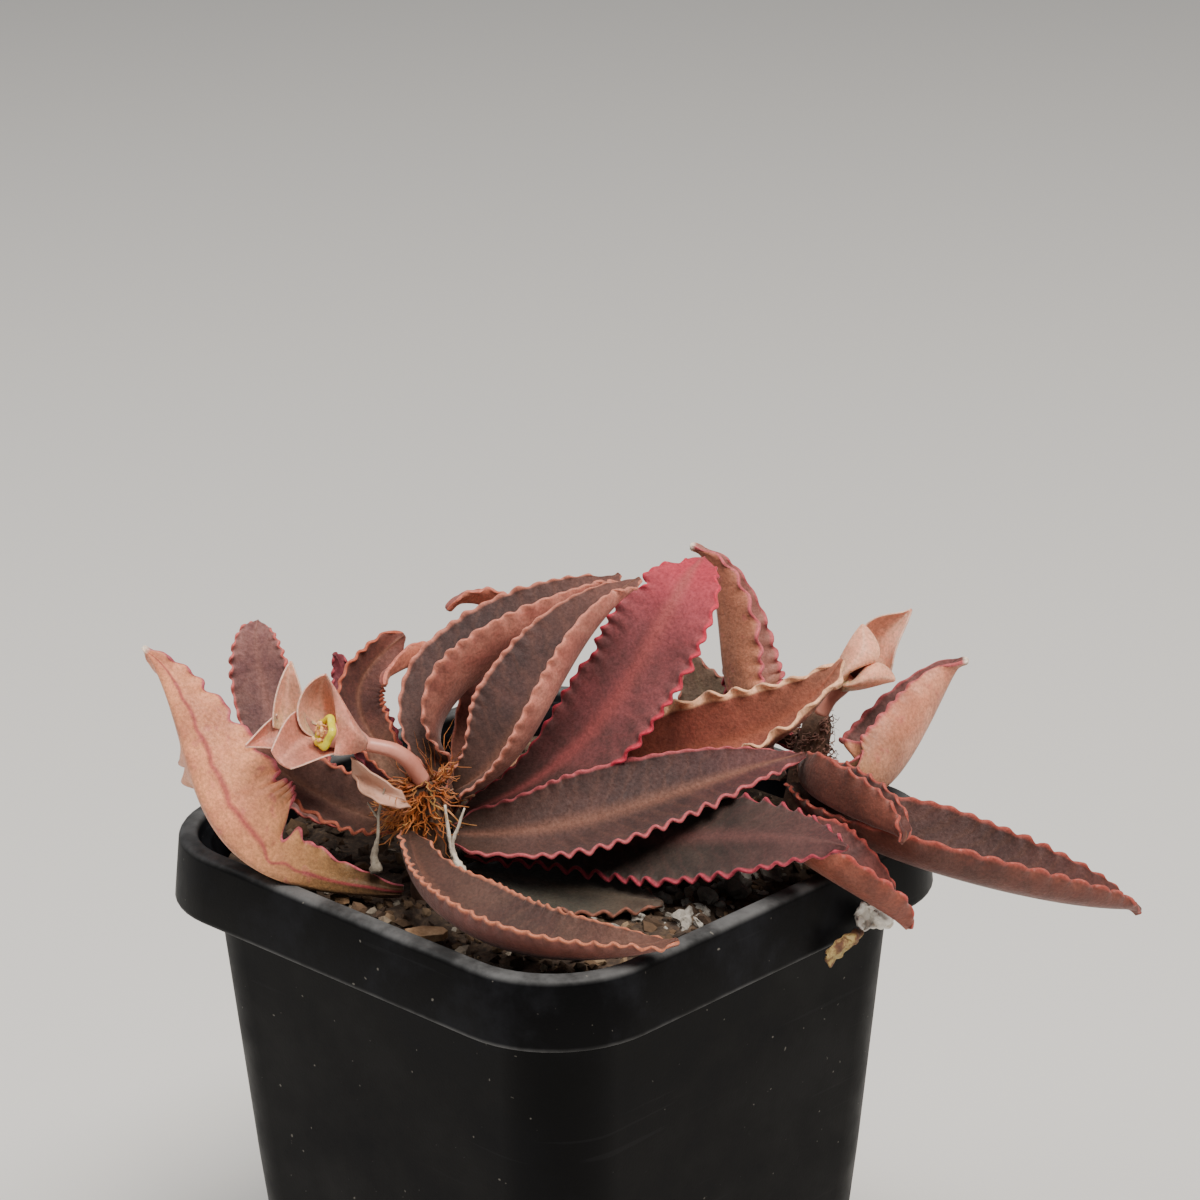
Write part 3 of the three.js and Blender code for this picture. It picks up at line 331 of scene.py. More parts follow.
def leaf_skin(
    name, face, mottle, midrib, margin, foot, rough, blotch=0.0, vein_depth=0.1, white=0.0, rib=0.7,
    rib_width=0.3, flush=0.12, rim_from=0.9, foot_shade=0.8, rib_at=0.0, thin=0.1,
):
    """Living waxy leaf skin, grown and not finished: satin, mottled over about 4 mm, with a
    paler midrib, faint side veins one wave apart and a thin coloured margin. The pits are
    0.4 mm across here, coarser than the real cells, so that they show."""
    material, tree, shader, place = new_material(name)
    spot = {"Vector": (place, "Object")}
    blade = add(tree, "UVMap", {"uv_map": "blade"})
    share = add(tree, "SeparateXYZ", links={0: (blade, "UV")})
    sized = add(tree, "UVMap", {"uv_map": "millimetres"})
    run = add(tree, "SeparateXYZ", links={0: (sized, "UV")})
    patches = add(tree, "TexNoise", None, {"Scale": 260.0, "Detail": 5.0, "Roughness": 0.6}, spot)
    pits = add(tree, "TexNoise", None, {"Scale": 2600.0, "Detail": 3.0, "Roughness": 0.65}, spot)
    clouds = add(tree, "TexNoise", None, {"Scale": 120.0, "Detail": 2.0, "Distortion": 0.6}, spot)
    flecks = add(tree, "TexNoise", None, {"Scale": 620.0, "Detail": 2.0}, spot)
    across = add(tree, "Math", TIMES_PLUS, {1: 2.0, 2: -1.0}, {0: (share, "X")})
    ribwards = add(tree, "Math", {"operation": "SUBTRACT"}, {1: rib_at}, {0: (across, 0)})
    ribwards = add(tree, "Math", ABSOLUTE, None, {0: (ribwards, 0)})
    across = add(tree, "Math", ABSOLUTE, None, {0: (across, 0)})
    wander = add(tree, "Math", TIMES_PLUS, {1: 0.16, 2: -0.08}, {0: (patches, "Fac")})
    rim = add(tree, "Math", TIMES_PLUS, {1: 0.3}, {0: (wander, 0), 2: (across, 0)})
    ribwards = add(tree, "Math", TIMES_PLUS, {1: 0.3}, {0: (wander, 0), 2: (ribwards, 0)})
    # Side veins lean towards the tip, one to each wave of the margin.
    off_rib = add(tree, "Math", ABSOLUTE, None, {0: (run, "X")})
    lean = add(tree, "Math", TIMES_PLUS, {1: -0.75}, {0: (off_rib, 0), 2: (run, "Y")})
    turn = add(tree, "Math", TIMES, {1: 2 * math.pi * 100 / WAVE_PITCH}, {0: (lean, 0)})
    sway = add(tree, "Math", TIMES_PLUS, {1: 14.0}, {0: (patches, "Fac"), 2: (turn, 0)})
    vein = add(tree, "Math", {"operation": "SINE"}, None, {0: (sway, 0)})
    vein = add(tree, "MapRange", None, {1: 0.35, 2: 1.0, 3: 0.0, 4: vein_depth}, {0: (vein, 0)})
    spread = add(tree, "MapRange", SOFT, {1: 0.36, 2: 0.64}, {0: (patches, "Fac")})
    ground = add(tree, "Mix", BLEND, {6: linear(face), 7: linear(mottle)}, {0: (spread, 0)})
    bloom = add(tree, "MapRange", None, {1: 0.3, 2: 0.7, 3: 0.72, 4: 1.3}, {0: (clouds, "Fac")})
    clouded = add(tree, "Mix", SHADING, {0: 1.0}, {6: (ground, 2), 7: (bloom, 0)})
    skin = add(tree, "Mix", BLEND, {7: linear(midrib)}, {0: (vein, 0), 6: (clouded, 2)})
    # Coats laid over one another: the flush towards the tip, the leaf's foot tint (darkened on some
    # leaves as painted shade), a dark brown painted shade at the stem, the midrib, flecks, the coloured
    # margin and the pale tip. Each grows or fades by a soft step: its measure, where the step starts
    # and ends, the share before and after.
    coats = (
        ((share, "Y"), 0.55, 1.0, 0.0, flush, margin),
        ((share, "Y"), 0.02, 0.5, 0.85, 0.0, foot),
        # the foot's dark painted shade
        ((share, "Y"), 0.03, 0.2, foot_shade, 0.0, FOOT_SHADE),
        ((ribwards, 0), 0.0, rib_width, rib, 0.0, midrib),
        ((flecks, "Fac"), 0.6, 0.74, 0.0, blotch, margin),
        ((rim, 0), rim_from, min(rim_from + RIM_WIDTH, 1.0), 0.0, 1.0, margin),
        ((share, "Y"), 0.982, 0.997, 0.0, white, TIP_COLOUR),
    )
    for measure, start, end, before, after, colour in coats:
        mask = add(tree, "MapRange", SOFT, {1: start, 2: end, 3: before, 4: after}, {0: measure})
        skin = add(tree, "Mix", BLEND, {7: linear(colour)}, {0: (mask, 0), 6: (skin, 2)})
    grain = add(tree, "MapRange", None, {1: 0.3, 2: 0.7, 3: 0.62, 4: 1.26}, {0: (pits, "Fac")})
    skin = add(tree, "Mix", SHADING, {0: 0.8}, {6: (skin, 2), 7: (grain, 0)})
    glossy, dull = rough - 0.08, rough + 0.08
    gloss = add(tree, "MapRange", None, {1: 0.3, 2: 0.7, 3: dull, 4: glossy}, {0: (pits, "Fac")})
    ridges = add(tree, "Bump", None, {"Strength": 0.5, "Distance": 0.00018}, {"Height": (vein, 0)})
    puckered = add(
        tree, "Bump", None, {"Strength": 0.5, "Distance": 0.0005},
        {"Height": (patches, "Fac"), "Normal": (ridges, 0)},
    )
    pitted = add(
        tree, "Bump", None, {"Strength": 0.5, "Distance": 0.00014},
        {"Height": (pits, "Fac"), "Normal": (puckered, 0)},
    )
    fill(
        tree, shader,
        {
            "IOR": 1.45, "Specular IOR Level": 0.32, "Sheen Weight": 0.12, "Sheen Roughness": 0.5,
            "Subsurface Weight": thin, "Subsurface Radius": (1.0, 0.4, 0.3), "Subsurface Scale": 0.0008,
        },
        {"Base Color": (skin, 2), "Roughness": (gloss, 0), "Normal": (pitted, 0)},
    )
    return material


def skin_pair(name):
    """The upper and lower skins of one kind of leaf."""
    face, mottle, midrib, margin, under, under_mottle, foot = SKINS[name]
    blotch = 0.4 if name in TIPPED else 0.12
    white = 0.9 if name in TIPPED else 0.0
    flush = FLUSHED.get(name, 0.12)
    rim_from = RIM_FROM.get(name, 0.9)
    rib, rib_width = (0.75, 0.07) if name in TIPPED else (0.25, 0.14)
    upper = leaf_skin(
        f"leaf cuticle, upper, {name}", face, mottle, midrib, margin, foot, 0.68,
        vein_depth=0.12, white=white, flush=flush, rim_from=rim_from,
    )
    lower = leaf_skin(
        f"leaf cuticle, underside, {name}", under, under_mottle, midrib, margin, foot, 0.5,
        blotch, 0.05, white, rib, rib_width, flush, rim_from, rib_at=RIB_AT.get(name, 0.0),
    )
    return upper, lower


def fresh_start(name):
    """Deselects everything and returns the name free for a new piece."""
    if bpy.context.mode != "OBJECT":
        bpy.ops.object.mode_set(mode="OBJECT")
    bpy.ops.object.select_all(action="DESELECT")
    return name


def finish_modifiers(piece):
    """Applies the piece's modifiers in order."""
    bpy.context.view_layer.objects.active = piece
    for modifier in list(piece.modifiers):
        bpy.ops.object.modifier_apply(modifier=modifier.name)


def seat(piece, slot, *nodes):
    """Gives the piece to the object's one body and hides the nodes whose place it takes; the slot is not
    used.
    """
    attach(piece, "root")
    if nodes:
        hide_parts(*nodes)
    return piece


# Leaf shape.


def eased(t):
    u = np.clip(t, 0, 1)
    return u * u * (3 - 2 * u)


def on_path(path, s):
    """The smooth curve through the path's points, evenly spaced along s = 0..1."""
    n = len(path)
    out = np.zeros((len(s), 3))
    for i in range(n):
        weight = np.ones(len(s))
        for j in range(n):
            if j != i:
                weight = weight * (s * (n - 1) - j) / (i - j)
        out += weight[:, None] * np.array(path[i], float)
    return out


def unit(rows):
    return rows / np.linalg.norm(rows, axis=1)[:, None]


def path_length(path):
    return float(np.linalg.norm(np.diff(on_path(path, np.linspace(0, 1, 41)), axis=0), axis=1).sum())


def blade_frame(leaf, s):
    """Place, left side and facing of the leaf's midrib at each share s of its length."""
    step = 1e-3
    along = unit(on_path(leaf["path"], s + step) - on_path(leaf["path"], s - step))
    face = np.array(leaf["face"], float)
    up = unit(face - along * (along @ face)[:, None])
    side = np.cross(up, along)
    roll = np.radians(leaf["twist"] * (s - 0.5))
    c, q = np.cos(roll)[:, None], np.sin(roll)[:, None]
    return on_path(leaf["path"], s), side * c + up * q, up * c - side * q


def half_width(leaf, s):
    neck = leaf["neck"]
    swell = neck + (1 - neck) * eased(s / leaf.get("swell", 0.4))
    swell = swell * (0.4 + 0.6 * eased(s / 0.06))
    fade = np.clip((s - 0.42) / 0.58, 0, 1)
    late, sharp = leaf.get("tip", TIP_TAPER)
    return leaf["width"] / 2 * np.maximum(swell * (1 - fade**late) ** sharp, 0.02)


def margin_noise(s, count, seed):
    """A smooth wandering value in about -1..1, changing once every few waves."""
    draw = random.Random(seed)
    knots = np.array([draw.uniform(-1, 1) for _ in range(count + 2)])
    return np.interp(s * count, np.arange(count + 2), knots)


def blade_points(leaf, v, s, waves, seed):
    """Points of the blade's middle surface, v = -1..1 across and s = 0..1 along."""
    at, side, up = blade_frame(leaf, s)
    hand = np.where(v < 0, -1.0, 1.0)
    edge = np.abs(v)
    w = half_width(leaf, s)
    for sign, place, depth, breadth in leaf.get("bites", []):
        near = np.exp(-(((s - place) / breadth) ** 2))
        w = np.where(sign * v > 0, w * (1 - depth * near), w)
    w = np.maximum(w, LEAST_HALF_WIDTH)
    opened = np.clip((w - 0.5) / 2, 0, 1)
    cup = leaf["cup"]
    a = np.where(v > 0, cup[0], cup[2]) * opened
    b = np.where(v > 0, cup[1], cup[3]) * opened
    for place, breadth, turn in leaf.get("peeks", []):
        b = b - np.where(v < 0, turn * np.exp(-(((s - place) / breadth) ** 2)), 0)
    lean_a = np.radians(a)
    span = np.radians(b - a)
    span = np.where(np.abs(span) < 2e-3, 2e-3, span)
    lean = lean_a + span * edge
    reach = (np.sin(lean) - np.sin(lean_a)) / span
    rise = (np.cos(lean_a) - np.cos(lean)) / span
    count = max(3, int(waves / 3))
    ragged = 1 + RAGGED * np.where(v > 0, margin_noise(s, count, seed), margin_noise(s, count, seed + 1))
    drift = DRIFT * np.where(v > 0, margin_noise(s, count, seed + 2), margin_noise(s, count, seed + 3))
    phase = math.pi * waves * s + drift
    ends = eased((1 - s) / 0.05) * eased(s / 0.08)
    height = leaf.get("wave", WAVE_HEIGHT) * ragged * ends
    points = at + side * (hand * reach * w)[:, None] + up * (rise * w)[:, None]
    out = up * np.cos(lean)[:, None] - side * (hand * np.sin(lean))[:, None]
    outward = side * (hand * np.cos(lean))[:, None] + up * np.sin(lean)[:, None]
    # The margin is a crisp frill, echoed by low swells towards the midrib.
    crest = np.cos(phase) + 0.3 * np.cos(2 * phase + 2 * drift) + 0.06 * np.cos(3 * phase + 1.3)
    swells = leaf.get("pucker", 0.1) * np.cos(phase) * edge**3
    points += out * (hand * height * (crest * edge**FRILL_POWER + swells))[:, None]
    points += outward * (SCALLOP * height * np.cos(phase + 1.1) * edge**9)[:, None]
    # The midrib lies in a shallow groove.
    groove = GROOVE_DEPTH * np.exp(-(((v - leaf.get("rib_at", 0)) / GROOVE_WIDTH) ** 2))
    points -= out * (groove * eased((1 - s) / 0.3))[:, None]
    if leaf.get("hook"):
        curl = np.clip((s - HOOK_START) / HOOK_SHARE, 0, 1) ** 2
        points -= up * (HOOK_DROP * curl)[:, None]
    return points, w


def laid_sheet(name, place, length, columns, pitch, thick, thin, coats):
    """A grid primitive laid on a surface, given its coats and thickness, and smoothed."""
    fresh_start(name)
    rows = max(10, int(round(length / pitch)))
    bpy.ops.mesh.primitive_grid_add(x_subdivisions=columns, y_subdivisions=rows, size=2)
    piece = bpy.context.active_object
    piece.name = name
    mesh = piece.data
    mesh.name = name
    flat = np.zeros(len(mesh.vertices) * 3)
    mesh.vertices.foreach_get("co", flat)
    flat = flat.reshape(-1, 3)
    # Columns crowd towards the margins, where the frill is.
    v = -0.35 * flat[:, 0] - 0.65 * np.sin(flat[:, 0] * math.pi / 2)
    s = (flat[:, 1] + 1) / 2
    points, half = place(v, s)
    mesh.vertices.foreach_set("co", (points * MM).ravel())
    corners = np.zeros(len(mesh.loops), int)
    mesh.loops.foreach_get("vertex_index", corners)
    while mesh.uv_layers:
        mesh.uv_layers.remove(mesh.uv_layers[0])
    for layer, data in (
        ("blade", np.stack([(v + 1) / 2, s], 1)),
        ("millimetres", np.stack([v * half, s * length], 1) / 100),
    ):
        mesh.uv_layers.new(name=layer).data.foreach_set("uv", data[corners].ravel())
    group = piece.vertex_groups.new(name="thickness")
    ridge = 0.25 * np.exp(-((v / 0.12) ** 2))
    share = (1 + (thin / thick - 1) * np.abs(v) + ridge) / 1.25
    for index, value in enumerate(share):
        group.add([index], float(value), "REPLACE")
    for coat in coats:
        mesh.materials.append(coat)
    wall = piece.modifiers.new("thickness", "SOLIDIFY")
    wall.thickness = thick * 1.25 * MM
    wall.offset = 0
    wall.vertex_group = "thickness"
    wall.material_offset = 1
    wall.material_offset_rim = 1
    soft = piece.modifiers.new("rounding", "SUBSURF")
    soft.levels = 1
    soft.render_levels = 1
    finish_modifiers(piece)
    bpy.ops.object.shade_smooth()
    return piece


def spanned_sheet(name, curves, thick, thin, coats, crumple=0.0, folds=0.9):
    """A thin sheet spanned over three curves of a few points: its left edge, middle and right edge."""
    left, middle, right = curves
    broad = np.array(left[1]) - np.array(right[1])
    broad = 0.12 * broad / np.linalg.norm(broad)

    def place(v, s):
        a, b, c = on_path(left, s), on_path(middle, s), on_path(right, s)
        points = a * (v * (v + 1) / 2)[:, None] + b * (1 - v * v)[:, None] + c * (v * (v - 1) / 2)[:, None]
        points += np.outer(v, broad)
        if crumple:
            points += crumple * np.array([noise.noise_vector(Vector(point) * folds) for point in points])
        return points, np.linalg.norm(a - c, axis=1) / 2

    return laid_sheet(name, place, path_length(middle), SHEET_COLUMNS, FINE_ROW, thick, thin, coats)


def leaf_piece(leaf, seed):
    """One leaf with its waved margins, riding where its solid is."""
    length = path_length(leaf["path"])
    pitch = leaf.get("pitch", WAVE_PITCH)
    waves = max(8, round(length / (pitch / 2)))
    columns = BROAD_COLUMNS if leaf["width"] > BROAD_LEAF else NARROW_COLUMNS
    row = FINE_ROW if pitch < FINE_PITCH else COARSE_ROW
    piece = laid_sheet(
        leaf["name"] + "_blade", lambda v, s: blade_points(leaf, v, s, waves, seed), length, columns, row,
        MIDRIB_THICKNESS, MARGIN_THICKNESS, skins[leaf["skin"]],
    )
    slots = {item["node"]: item["material_slot"] for item in frame["record"]["subparts"]}
    return seat(piece, slots[leaf["name"]], leaf["name"])


# Rings of points pulled out one after the other: the pot, stems, stalks and twigs.


def ringed_piece(name, rings):
    """A circle primitive set on the first ring and extruded through the others."""
    fresh_start(name)
    bpy.ops.mesh.primitive_circle_add(vertices=len(rings[0]), fill_type="NOTHING")
    piece = bpy.context.active_object
    piece.name = name
    piece.data.name = name
    bpy.ops.object.mode_set(mode="EDIT")
    bpy.ops.mesh.select_mode(type="EDGE")
    bpy.ops.mesh.select_all(action="SELECT")
    shape = bmesh.from_edit_mesh(piece.data)
    where = {}
    for vert, point in zip(sorted(shape.verts, key=lambda one: one.index), rings[0]):
        vert.co = Vector(point) * MM
        where[tuple(vert.co)] = vert.index
    bpy.ops.mesh.edge_face_add()
    bmesh.update_edit_mesh(piece.data)
    for ring in rings[1:]:
        bpy.ops.mesh.extrude_edges_move()
        shape = bmesh.from_edit_mesh(piece.data)
        chosen = [vert for vert in shape.verts if vert.select]
        places = {}
        for vert in chosen:
            order = where[tuple(vert.co)]
            vert.co = Vector(ring[order]) * MM
            places[tuple(vert.co)] = order
        where = places
        bmesh.update_edit_mesh(piece.data)
    bpy.ops.mesh.edge_face_add()
    bpy.ops.mesh.select_all(action="SELECT")
    bpy.ops.mesh.normals_make_consistent(inside=False)
    bpy.ops.object.mode_set(mode="OBJECT")
    return piece


def stalk_rings(points, sides, knob=0.0, seed=0):
    """Rings about a smooth line through points of x, y, z and radius, a little uneven."""
    draw = random.Random(seed)
    rows = np.array(points, float)
    steps = max(6, int(4 * len(rows)))
    s = np.linspace(0, len(rows) - 1, steps)
    smooth = np.stack([np.interp(s, np.arange(len(rows)), rows[:, k]) for k in range(4)], 1)
    for _ in range(2):
        smooth[1:-1] = (smooth[:-2] + 2 * smooth[1:-1] + smooth[2:]) / 4
    centre = smooth[:, :3]
    along = unit(np.gradient(centre, axis=0))
    away = np.array([0.31, 0.87, 0.39])
    side = unit(away - along * (along @ away)[:, None])
    up = np.cross(along, side)
    rings = []
    for k in range(steps):
        ring = []
        for i in range(sides):
            angle = 2 * math.pi * i / sides
            r = smooth[k, 3] * (1 + knob * draw.uniform(-1, 1))
            ring.append(centre[k] + r * (math.cos(angle) * side[k] + math.sin(angle) * up[k]))
        rings.append(ring)
    return rings


def stalk_piece(name, points, sides=12, knob=0.0, seed=0):
    piece = ringed_piece(name, stalk_rings(points, sides, knob, seed))
    bpy.ops.object.shade_smooth()
    return piece


def joined(name, pieces):
    """The pieces as one, under the given name."""
    fresh_start(name)
    for piece in pieces:
        piece.select_set(True)
    bpy.context.view_layer.objects.active = pieces[0]
    bpy.ops.object.join()
    pieces[0].name = name
    pieces[0].data.name = name
    return pieces[0]


def copied(name, pattern, placements):
    """Copies of a small pattern, each with its own mesh bent to its place and tinted, joined."""
    corners = np.array([vert.co[:] for vert in pattern.data.vertices])
    order = np.zeros(len(pattern.data.loops), int)
    pattern.data.loops.foreach_get("vertex_index", order)
    while pattern.data.uv_layers:
        pattern.data.uv_layers.remove(pattern.data.uv_layers[0])
    pattern.data.uv_layers.new(name="tint")
    twins = []
    for bend, tint in placements:
        twin = pattern.copy()
        twin.data = pattern.data.copy()
        points, along = bend(corners)
        twin.data.vertices.foreach_set("co", (points * MM).ravel())
        marks = np.stack([along, np.full(len(along), tint)], 1)[order]
        twin.data.uv_layers["tint"].data.foreach_set("uv", marks.ravel())
        bpy.context.scene.collection.objects.link(twin)
        twins.append(twin)
    bpy.data.objects.remove(pattern)
    return joined(name, twins)


# The pot.


def rounded_square(half, corner, z):
    """Outline of a square with rounded corners, anticlockwise."""
    inner = half - corner
    points = []
    for quarter in range(4):
        cx = inner * (1 if quarter in (0, 3) else -1)
        cy = inner * (1 if quarter < 2 else -1)
        for step in range(CORNER_STEPS + 1):
            angle = math.radians(90 * (quarter + step / CORNER_STEPS))
            points.append((cx + corner * math.cos(angle), cy + corner * math.sin(angle), z))
    return points


def body_half(z):
    return BODY_HALF_TOP - BODY_TAPER * (POT_HEIGHT - BAND_HEIGHT - z)


def filleted(profile):
    """Rounds each point of a profile (z, half width, corner, fillet) into a few rows."""
    rows = []
    for k, (z, half, corner, fillet) in enumerate(profile):
        here = np.array([z, half, corner])
        if fillet == 0 or k in (0, len(profile) - 1):
            rows.append(here)
            continue
        back = np.array(profile[k - 1][:3]) - here
        on = np.array(profile[k + 1][:3]) - here
        start = here + back * min(0.45, fillet / np.linalg.norm(back[:2]))
        end = here + on * min(0.45, fillet / np.linalg.norm(on[:2]))
        for step in range(FILLET_STEPS + 1):
            t = step / FILLET_STEPS
            rows.append((1 - t) ** 2 * start + 2 * t * (1 - t) * here + t * t * end)
    return rows


def pot_piece():
    under = POT_HEIGHT - BAND_HEIGHT
    ledge = BAND_HALF_TOP - LEDGE_WIDTH
    inner = ledge - STEP_SLOPE - STEP_WIDTH
    profile = [
        (0.0, body_half(0) - 6.0, BODY_CORNER - 4.0, 0),
        (0.0, body_half(0) - 0.6, BODY_CORNER - 0.6, 1.1),
        (under * 0.5, body_half(under * 0.5), BODY_CORNER, 0),
        (under, BODY_HALF_TOP, BODY_CORNER, 0),
        (POT_HEIGHT - STEP_DEPTH * 2, BODY_HALF_TOP + 0.2, BODY_CORNER, 0.6),
        (POT_HEIGHT - BAND_WALL - 0.1, BAND_HALF_TOP - BAND_WALL, BAND_CORNER - BAND_WALL, 0.6),
        (under, BAND_HALF_LOW - BAND_WALL, BAND_CORNER - BAND_WALL, 0.25),
        (under, BAND_HALF_LOW, BAND_CORNER, 0.35),
        (POT_HEIGHT, BAND_HALF_TOP, BAND_CORNER, 0.9),
        (POT_HEIGHT, ledge, BAND_CORNER - LEDGE_WIDTH, 0.35),
        (POT_HEIGHT - STEP_DEPTH, ledge - STEP_SLOPE, BAND_CORNER - LEDGE_WIDTH - STEP_SLOPE, 0.3),
        (POT_HEIGHT - STEP_DEPTH, inner, BAND_CORNER - LEDGE_WIDTH - STEP_SLOPE - STEP_WIDTH, 0.3),
        (under, BODY_HALF_TOP - WALL, BODY_CORNER - WALL, 0.8),
        (under * 0.5, body_half(under * 0.5) - WALL, BODY_CORNER - WALL, 0),
        (FLOOR_THICKNESS, body_half(0) - WALL, BODY_CORNER - WALL, 1.2),
        (FLOOR_THICKNESS, body_half(0) - 7.0, BODY_CORNER - 5.0, 0),
    ]
    rings = [rounded_square(half, corner, z) for z, half, corner in filleted(profile)]
    piece = ringed_piece("pot_shell", rings)
    for x in (-DRAIN_OFFSET, DRAIN_OFFSET):
        for y in (-DRAIN_OFFSET, DRAIN_OFFSET):
            drill_drain(piece, x, y)
    bpy.ops.object.select_all(action="DESELECT")
    piece.select_set(True)
    bpy.context.view_layer.objects.active = piece
    bpy.ops.object.shade_smooth_by_angle(angle=math.radians(40))
    piece.data.materials.append(pot_plastic())
    return seat(piece, "pot_plastic", "pot")


def drill_drain(piece, x, y):
    fresh_start("drill")
    bpy.ops.mesh.primitive_cylinder_add(
        vertices=32, radius=DRAIN_RADIUS * MM, depth=6 * MM, location=(x * MM, y * MM, 0.5 * MM)
    )
    drill = bpy.context.active_object
    cut = piece.modifiers.new("drain", "BOOLEAN")
    cut.operation = "DIFFERENCE"
    cut.solver = "EXACT"
    cut.object = drill
    bpy.ops.object.select_all(action="DESELECT")
    finish_modifiers(piece)
    bpy.data.objects.remove(drill)


def pot_plastic():
    """Injection-moulded black polypropylene: satin, hazed with dust, painted pale along the
    band's top edge as a highlight and along its lower lip, with fine scratches and a few specks."""
    material, tree, shader, place = new_material("black polypropylene, moulded and dusty")
    spot = {"Vector": (place, "Object")}
    level = add(tree, "SeparateXYZ", links={0: (place, "Object")})
    haze = add(tree, "TexNoise", None, {"Scale": 95.0, "Detail": 6.0, "Roughness": 0.65}, spot)
    specks = add(tree, "TexNoise", None, {"Scale": 1300.0, "Detail": 1.0}, spot)
    speck = add(tree, "MapRange", SOFT, {1: 0.765, 2: 0.81, 3: 0.0, 4: 0.6}, {0: (specks, "Fac")})
    stretch = add(tree, "Mapping", None, {"Scale": (30.0, 30.0, 900.0)}, spot)
    streaks = add(tree, "TexNoise", None, {"Scale": 1.0, "Detail": 4.0}, {"Vector": (stretch, "Vector")})
    hazy = add(tree, "MapRange", SOFT, {1: 0.42, 2: 0.72, 3: 0.0, 4: 0.55}, {0: (haze, "Fac")})
    # Dust gathers on the band, above about 66 mm.
    band = add(tree, "MapRange", SOFT, {1: 0.055, 2: 0.068, 3: 0.25, 4: 1.0}, {0: (level, "Z")})
    dusty = add(tree, "Math", TIMES, None, {0: (hazy, 0), 1: (band, 0)})
    ground = add(tree, "Mix", BLEND, {6: linear("030304"), 7: linear("222327")}, {0: (dusty, 0)})
    # A pale line along the band's lower lip.
    lip = add(tree, "MapRange", SOFT, {1: 0.0668, 2: 0.0675, 3: 1.0, 4: 0.0}, {0: (level, "Z")})
    above = add(tree, "MapRange", SOFT, {1: 0.0664, 2: 0.0668}, {0: (level, "Z")})
    lip = add(tree, "Math", TIMES, None, {0: (lip, 0), 1: (above, 0)})
    # A pale line along the band's top edge: a painted highlight.
    rim = add(tree, "MapRange", SOFT, {1: 0.0742, 2: 0.0749, 3: 0.0, 4: 0.8}, {0: (level, "Z")})
    pale_edge_lines = add(tree, "Math", {"operation": "MAXIMUM"}, None, {0: (lip, 0), 1: (rim, 0)})
    patchy = add(tree, "MapRange", SOFT, {1: 0.35, 2: 0.65, 3: 0.15, 4: 0.75}, {0: (haze, "Fac")})
    pale_edge_lines = add(tree, "Math", TIMES, None, {0: (pale_edge_lines, 0), 1: (patchy, 0)})
    edged = add(tree, "Mix", BLEND, {7: linear("747474")}, {0: (pale_edge_lines, 0), 6: (ground, 2)})
    scratch = add(tree, "MapRange", SOFT, {1: 0.66, 2: 0.7, 3: 0.0, 4: 0.18}, {0: (streaks, "Fac")})
    marked = add(tree, "Mix", BLEND, {7: linear("242426")}, {0: (scratch, 0), 6: (edged, 2)})
    coat = add(tree, "Mix", BLEND, {7: linear("7C7870")}, {0: (speck, 0), 6: (marked, 2)})
    rough = add(tree, "MapRange", None, {1: 0.35, 2: 0.7, 3: 0.38, 4: 0.6}, {0: (haze, "Fac")})
    grain = add(tree, "TexNoise", None, {"Scale": 3200.0, "Detail": 2.0}, spot)
    relief = add(tree, "Bump", None, {"Strength": 0.12, "Distance": 0.00008}, {"Height": (grain, "Fac")})
    fill(
        tree, shader, {"IOR": 1.49, "Specular IOR Level": 0.08},
        {"Base Color": (coat, 2), "Roughness": (rough, 0), "Normal": (relief, 0)},
    )
    return material


# The potting mix.


def soil_level(x, y):
    slow = SOIL_RELIEF * math.sin(x * 0.31 + 0.7) * math.cos(y * 0.27 - 0.4)
    return SOIL_TOP + slow + SOIL_RELIEF * 0.5 * math.sin(x * 0.9 + y * 0.7)


def crumbly(x, y):
    """The soil's height with its crumbs of about 2 mm and 0.7 mm."""
    lumps = noise.noise(Vector((x * 0.5, y * 0.5, 3.0))) * 0.45
    return soil_level(x, y) + lumps + noise.noise(Vector((x * 1.5, y * 1.5, 9.0))) * 0.22


def square_reach(x, y, half, corner):
    """How much a point of a square is drawn in so that the square gets rounded corners."""
    most = max(abs(x), abs(y))
    if most == 0:
        return 1.0
    dx, dy = abs(x) / most, abs(y) / most
    inner = half - corner
    if min(dx, dy) * half <= inner:
        return 1.0
    # Where the ray from the centre meets the corner's arc.
    a = dx * dx + dy * dy
    b = -2 * inner * (dx + dy)
    c = 2 * inner * inner - corner * corner
    return (-b + math.sqrt(max(b * b - 4 * a * c, 0))) / (2 * a) / half


def soil_piece():
    fresh_start("soil_crumb_top")
    bpy.ops.mesh.primitive_grid_add(x_subdivisions=SOIL_GRID, y_subdivisions=SOIL_GRID, size=2)
    piece = bpy.context.active_object
    piece.name = "soil_crumb_top"
    half = BODY_HALF_TOP - WALL + 0.5
    for vert in piece.data.vertices:
        x, y = vert.co.x * half, vert.co.y * half
        pull = square_reach(x, y, half, BODY_CORNER)
        x, y = x * pull, y * pull
        edge = max(abs(vert.co.x), abs(vert.co.y))
        drop = WALL_DIP * max(0.0, (edge - 0.96) / 0.04)
        vert.co = Vector((x, y, crumbly(x, y) + TOP_LIFT - drop)) * MM
    wall = piece.modifiers.new("depth", "SOLIDIFY")
    wall.thickness = TOP_DEPTH * MM
    wall.offset = -1
    finish_modifiers(piece)
    bpy.ops.object.shade_smooth()
    piece.data.materials.append(plain["mix"])
    return seat(piece, "potting_mix")


def crumb_pattern(detail):
    fresh_start("crumb")
    bpy.ops.mesh.primitive_ico_sphere_add(subdivisions=detail, radius=1)
    return bpy.context.active_object


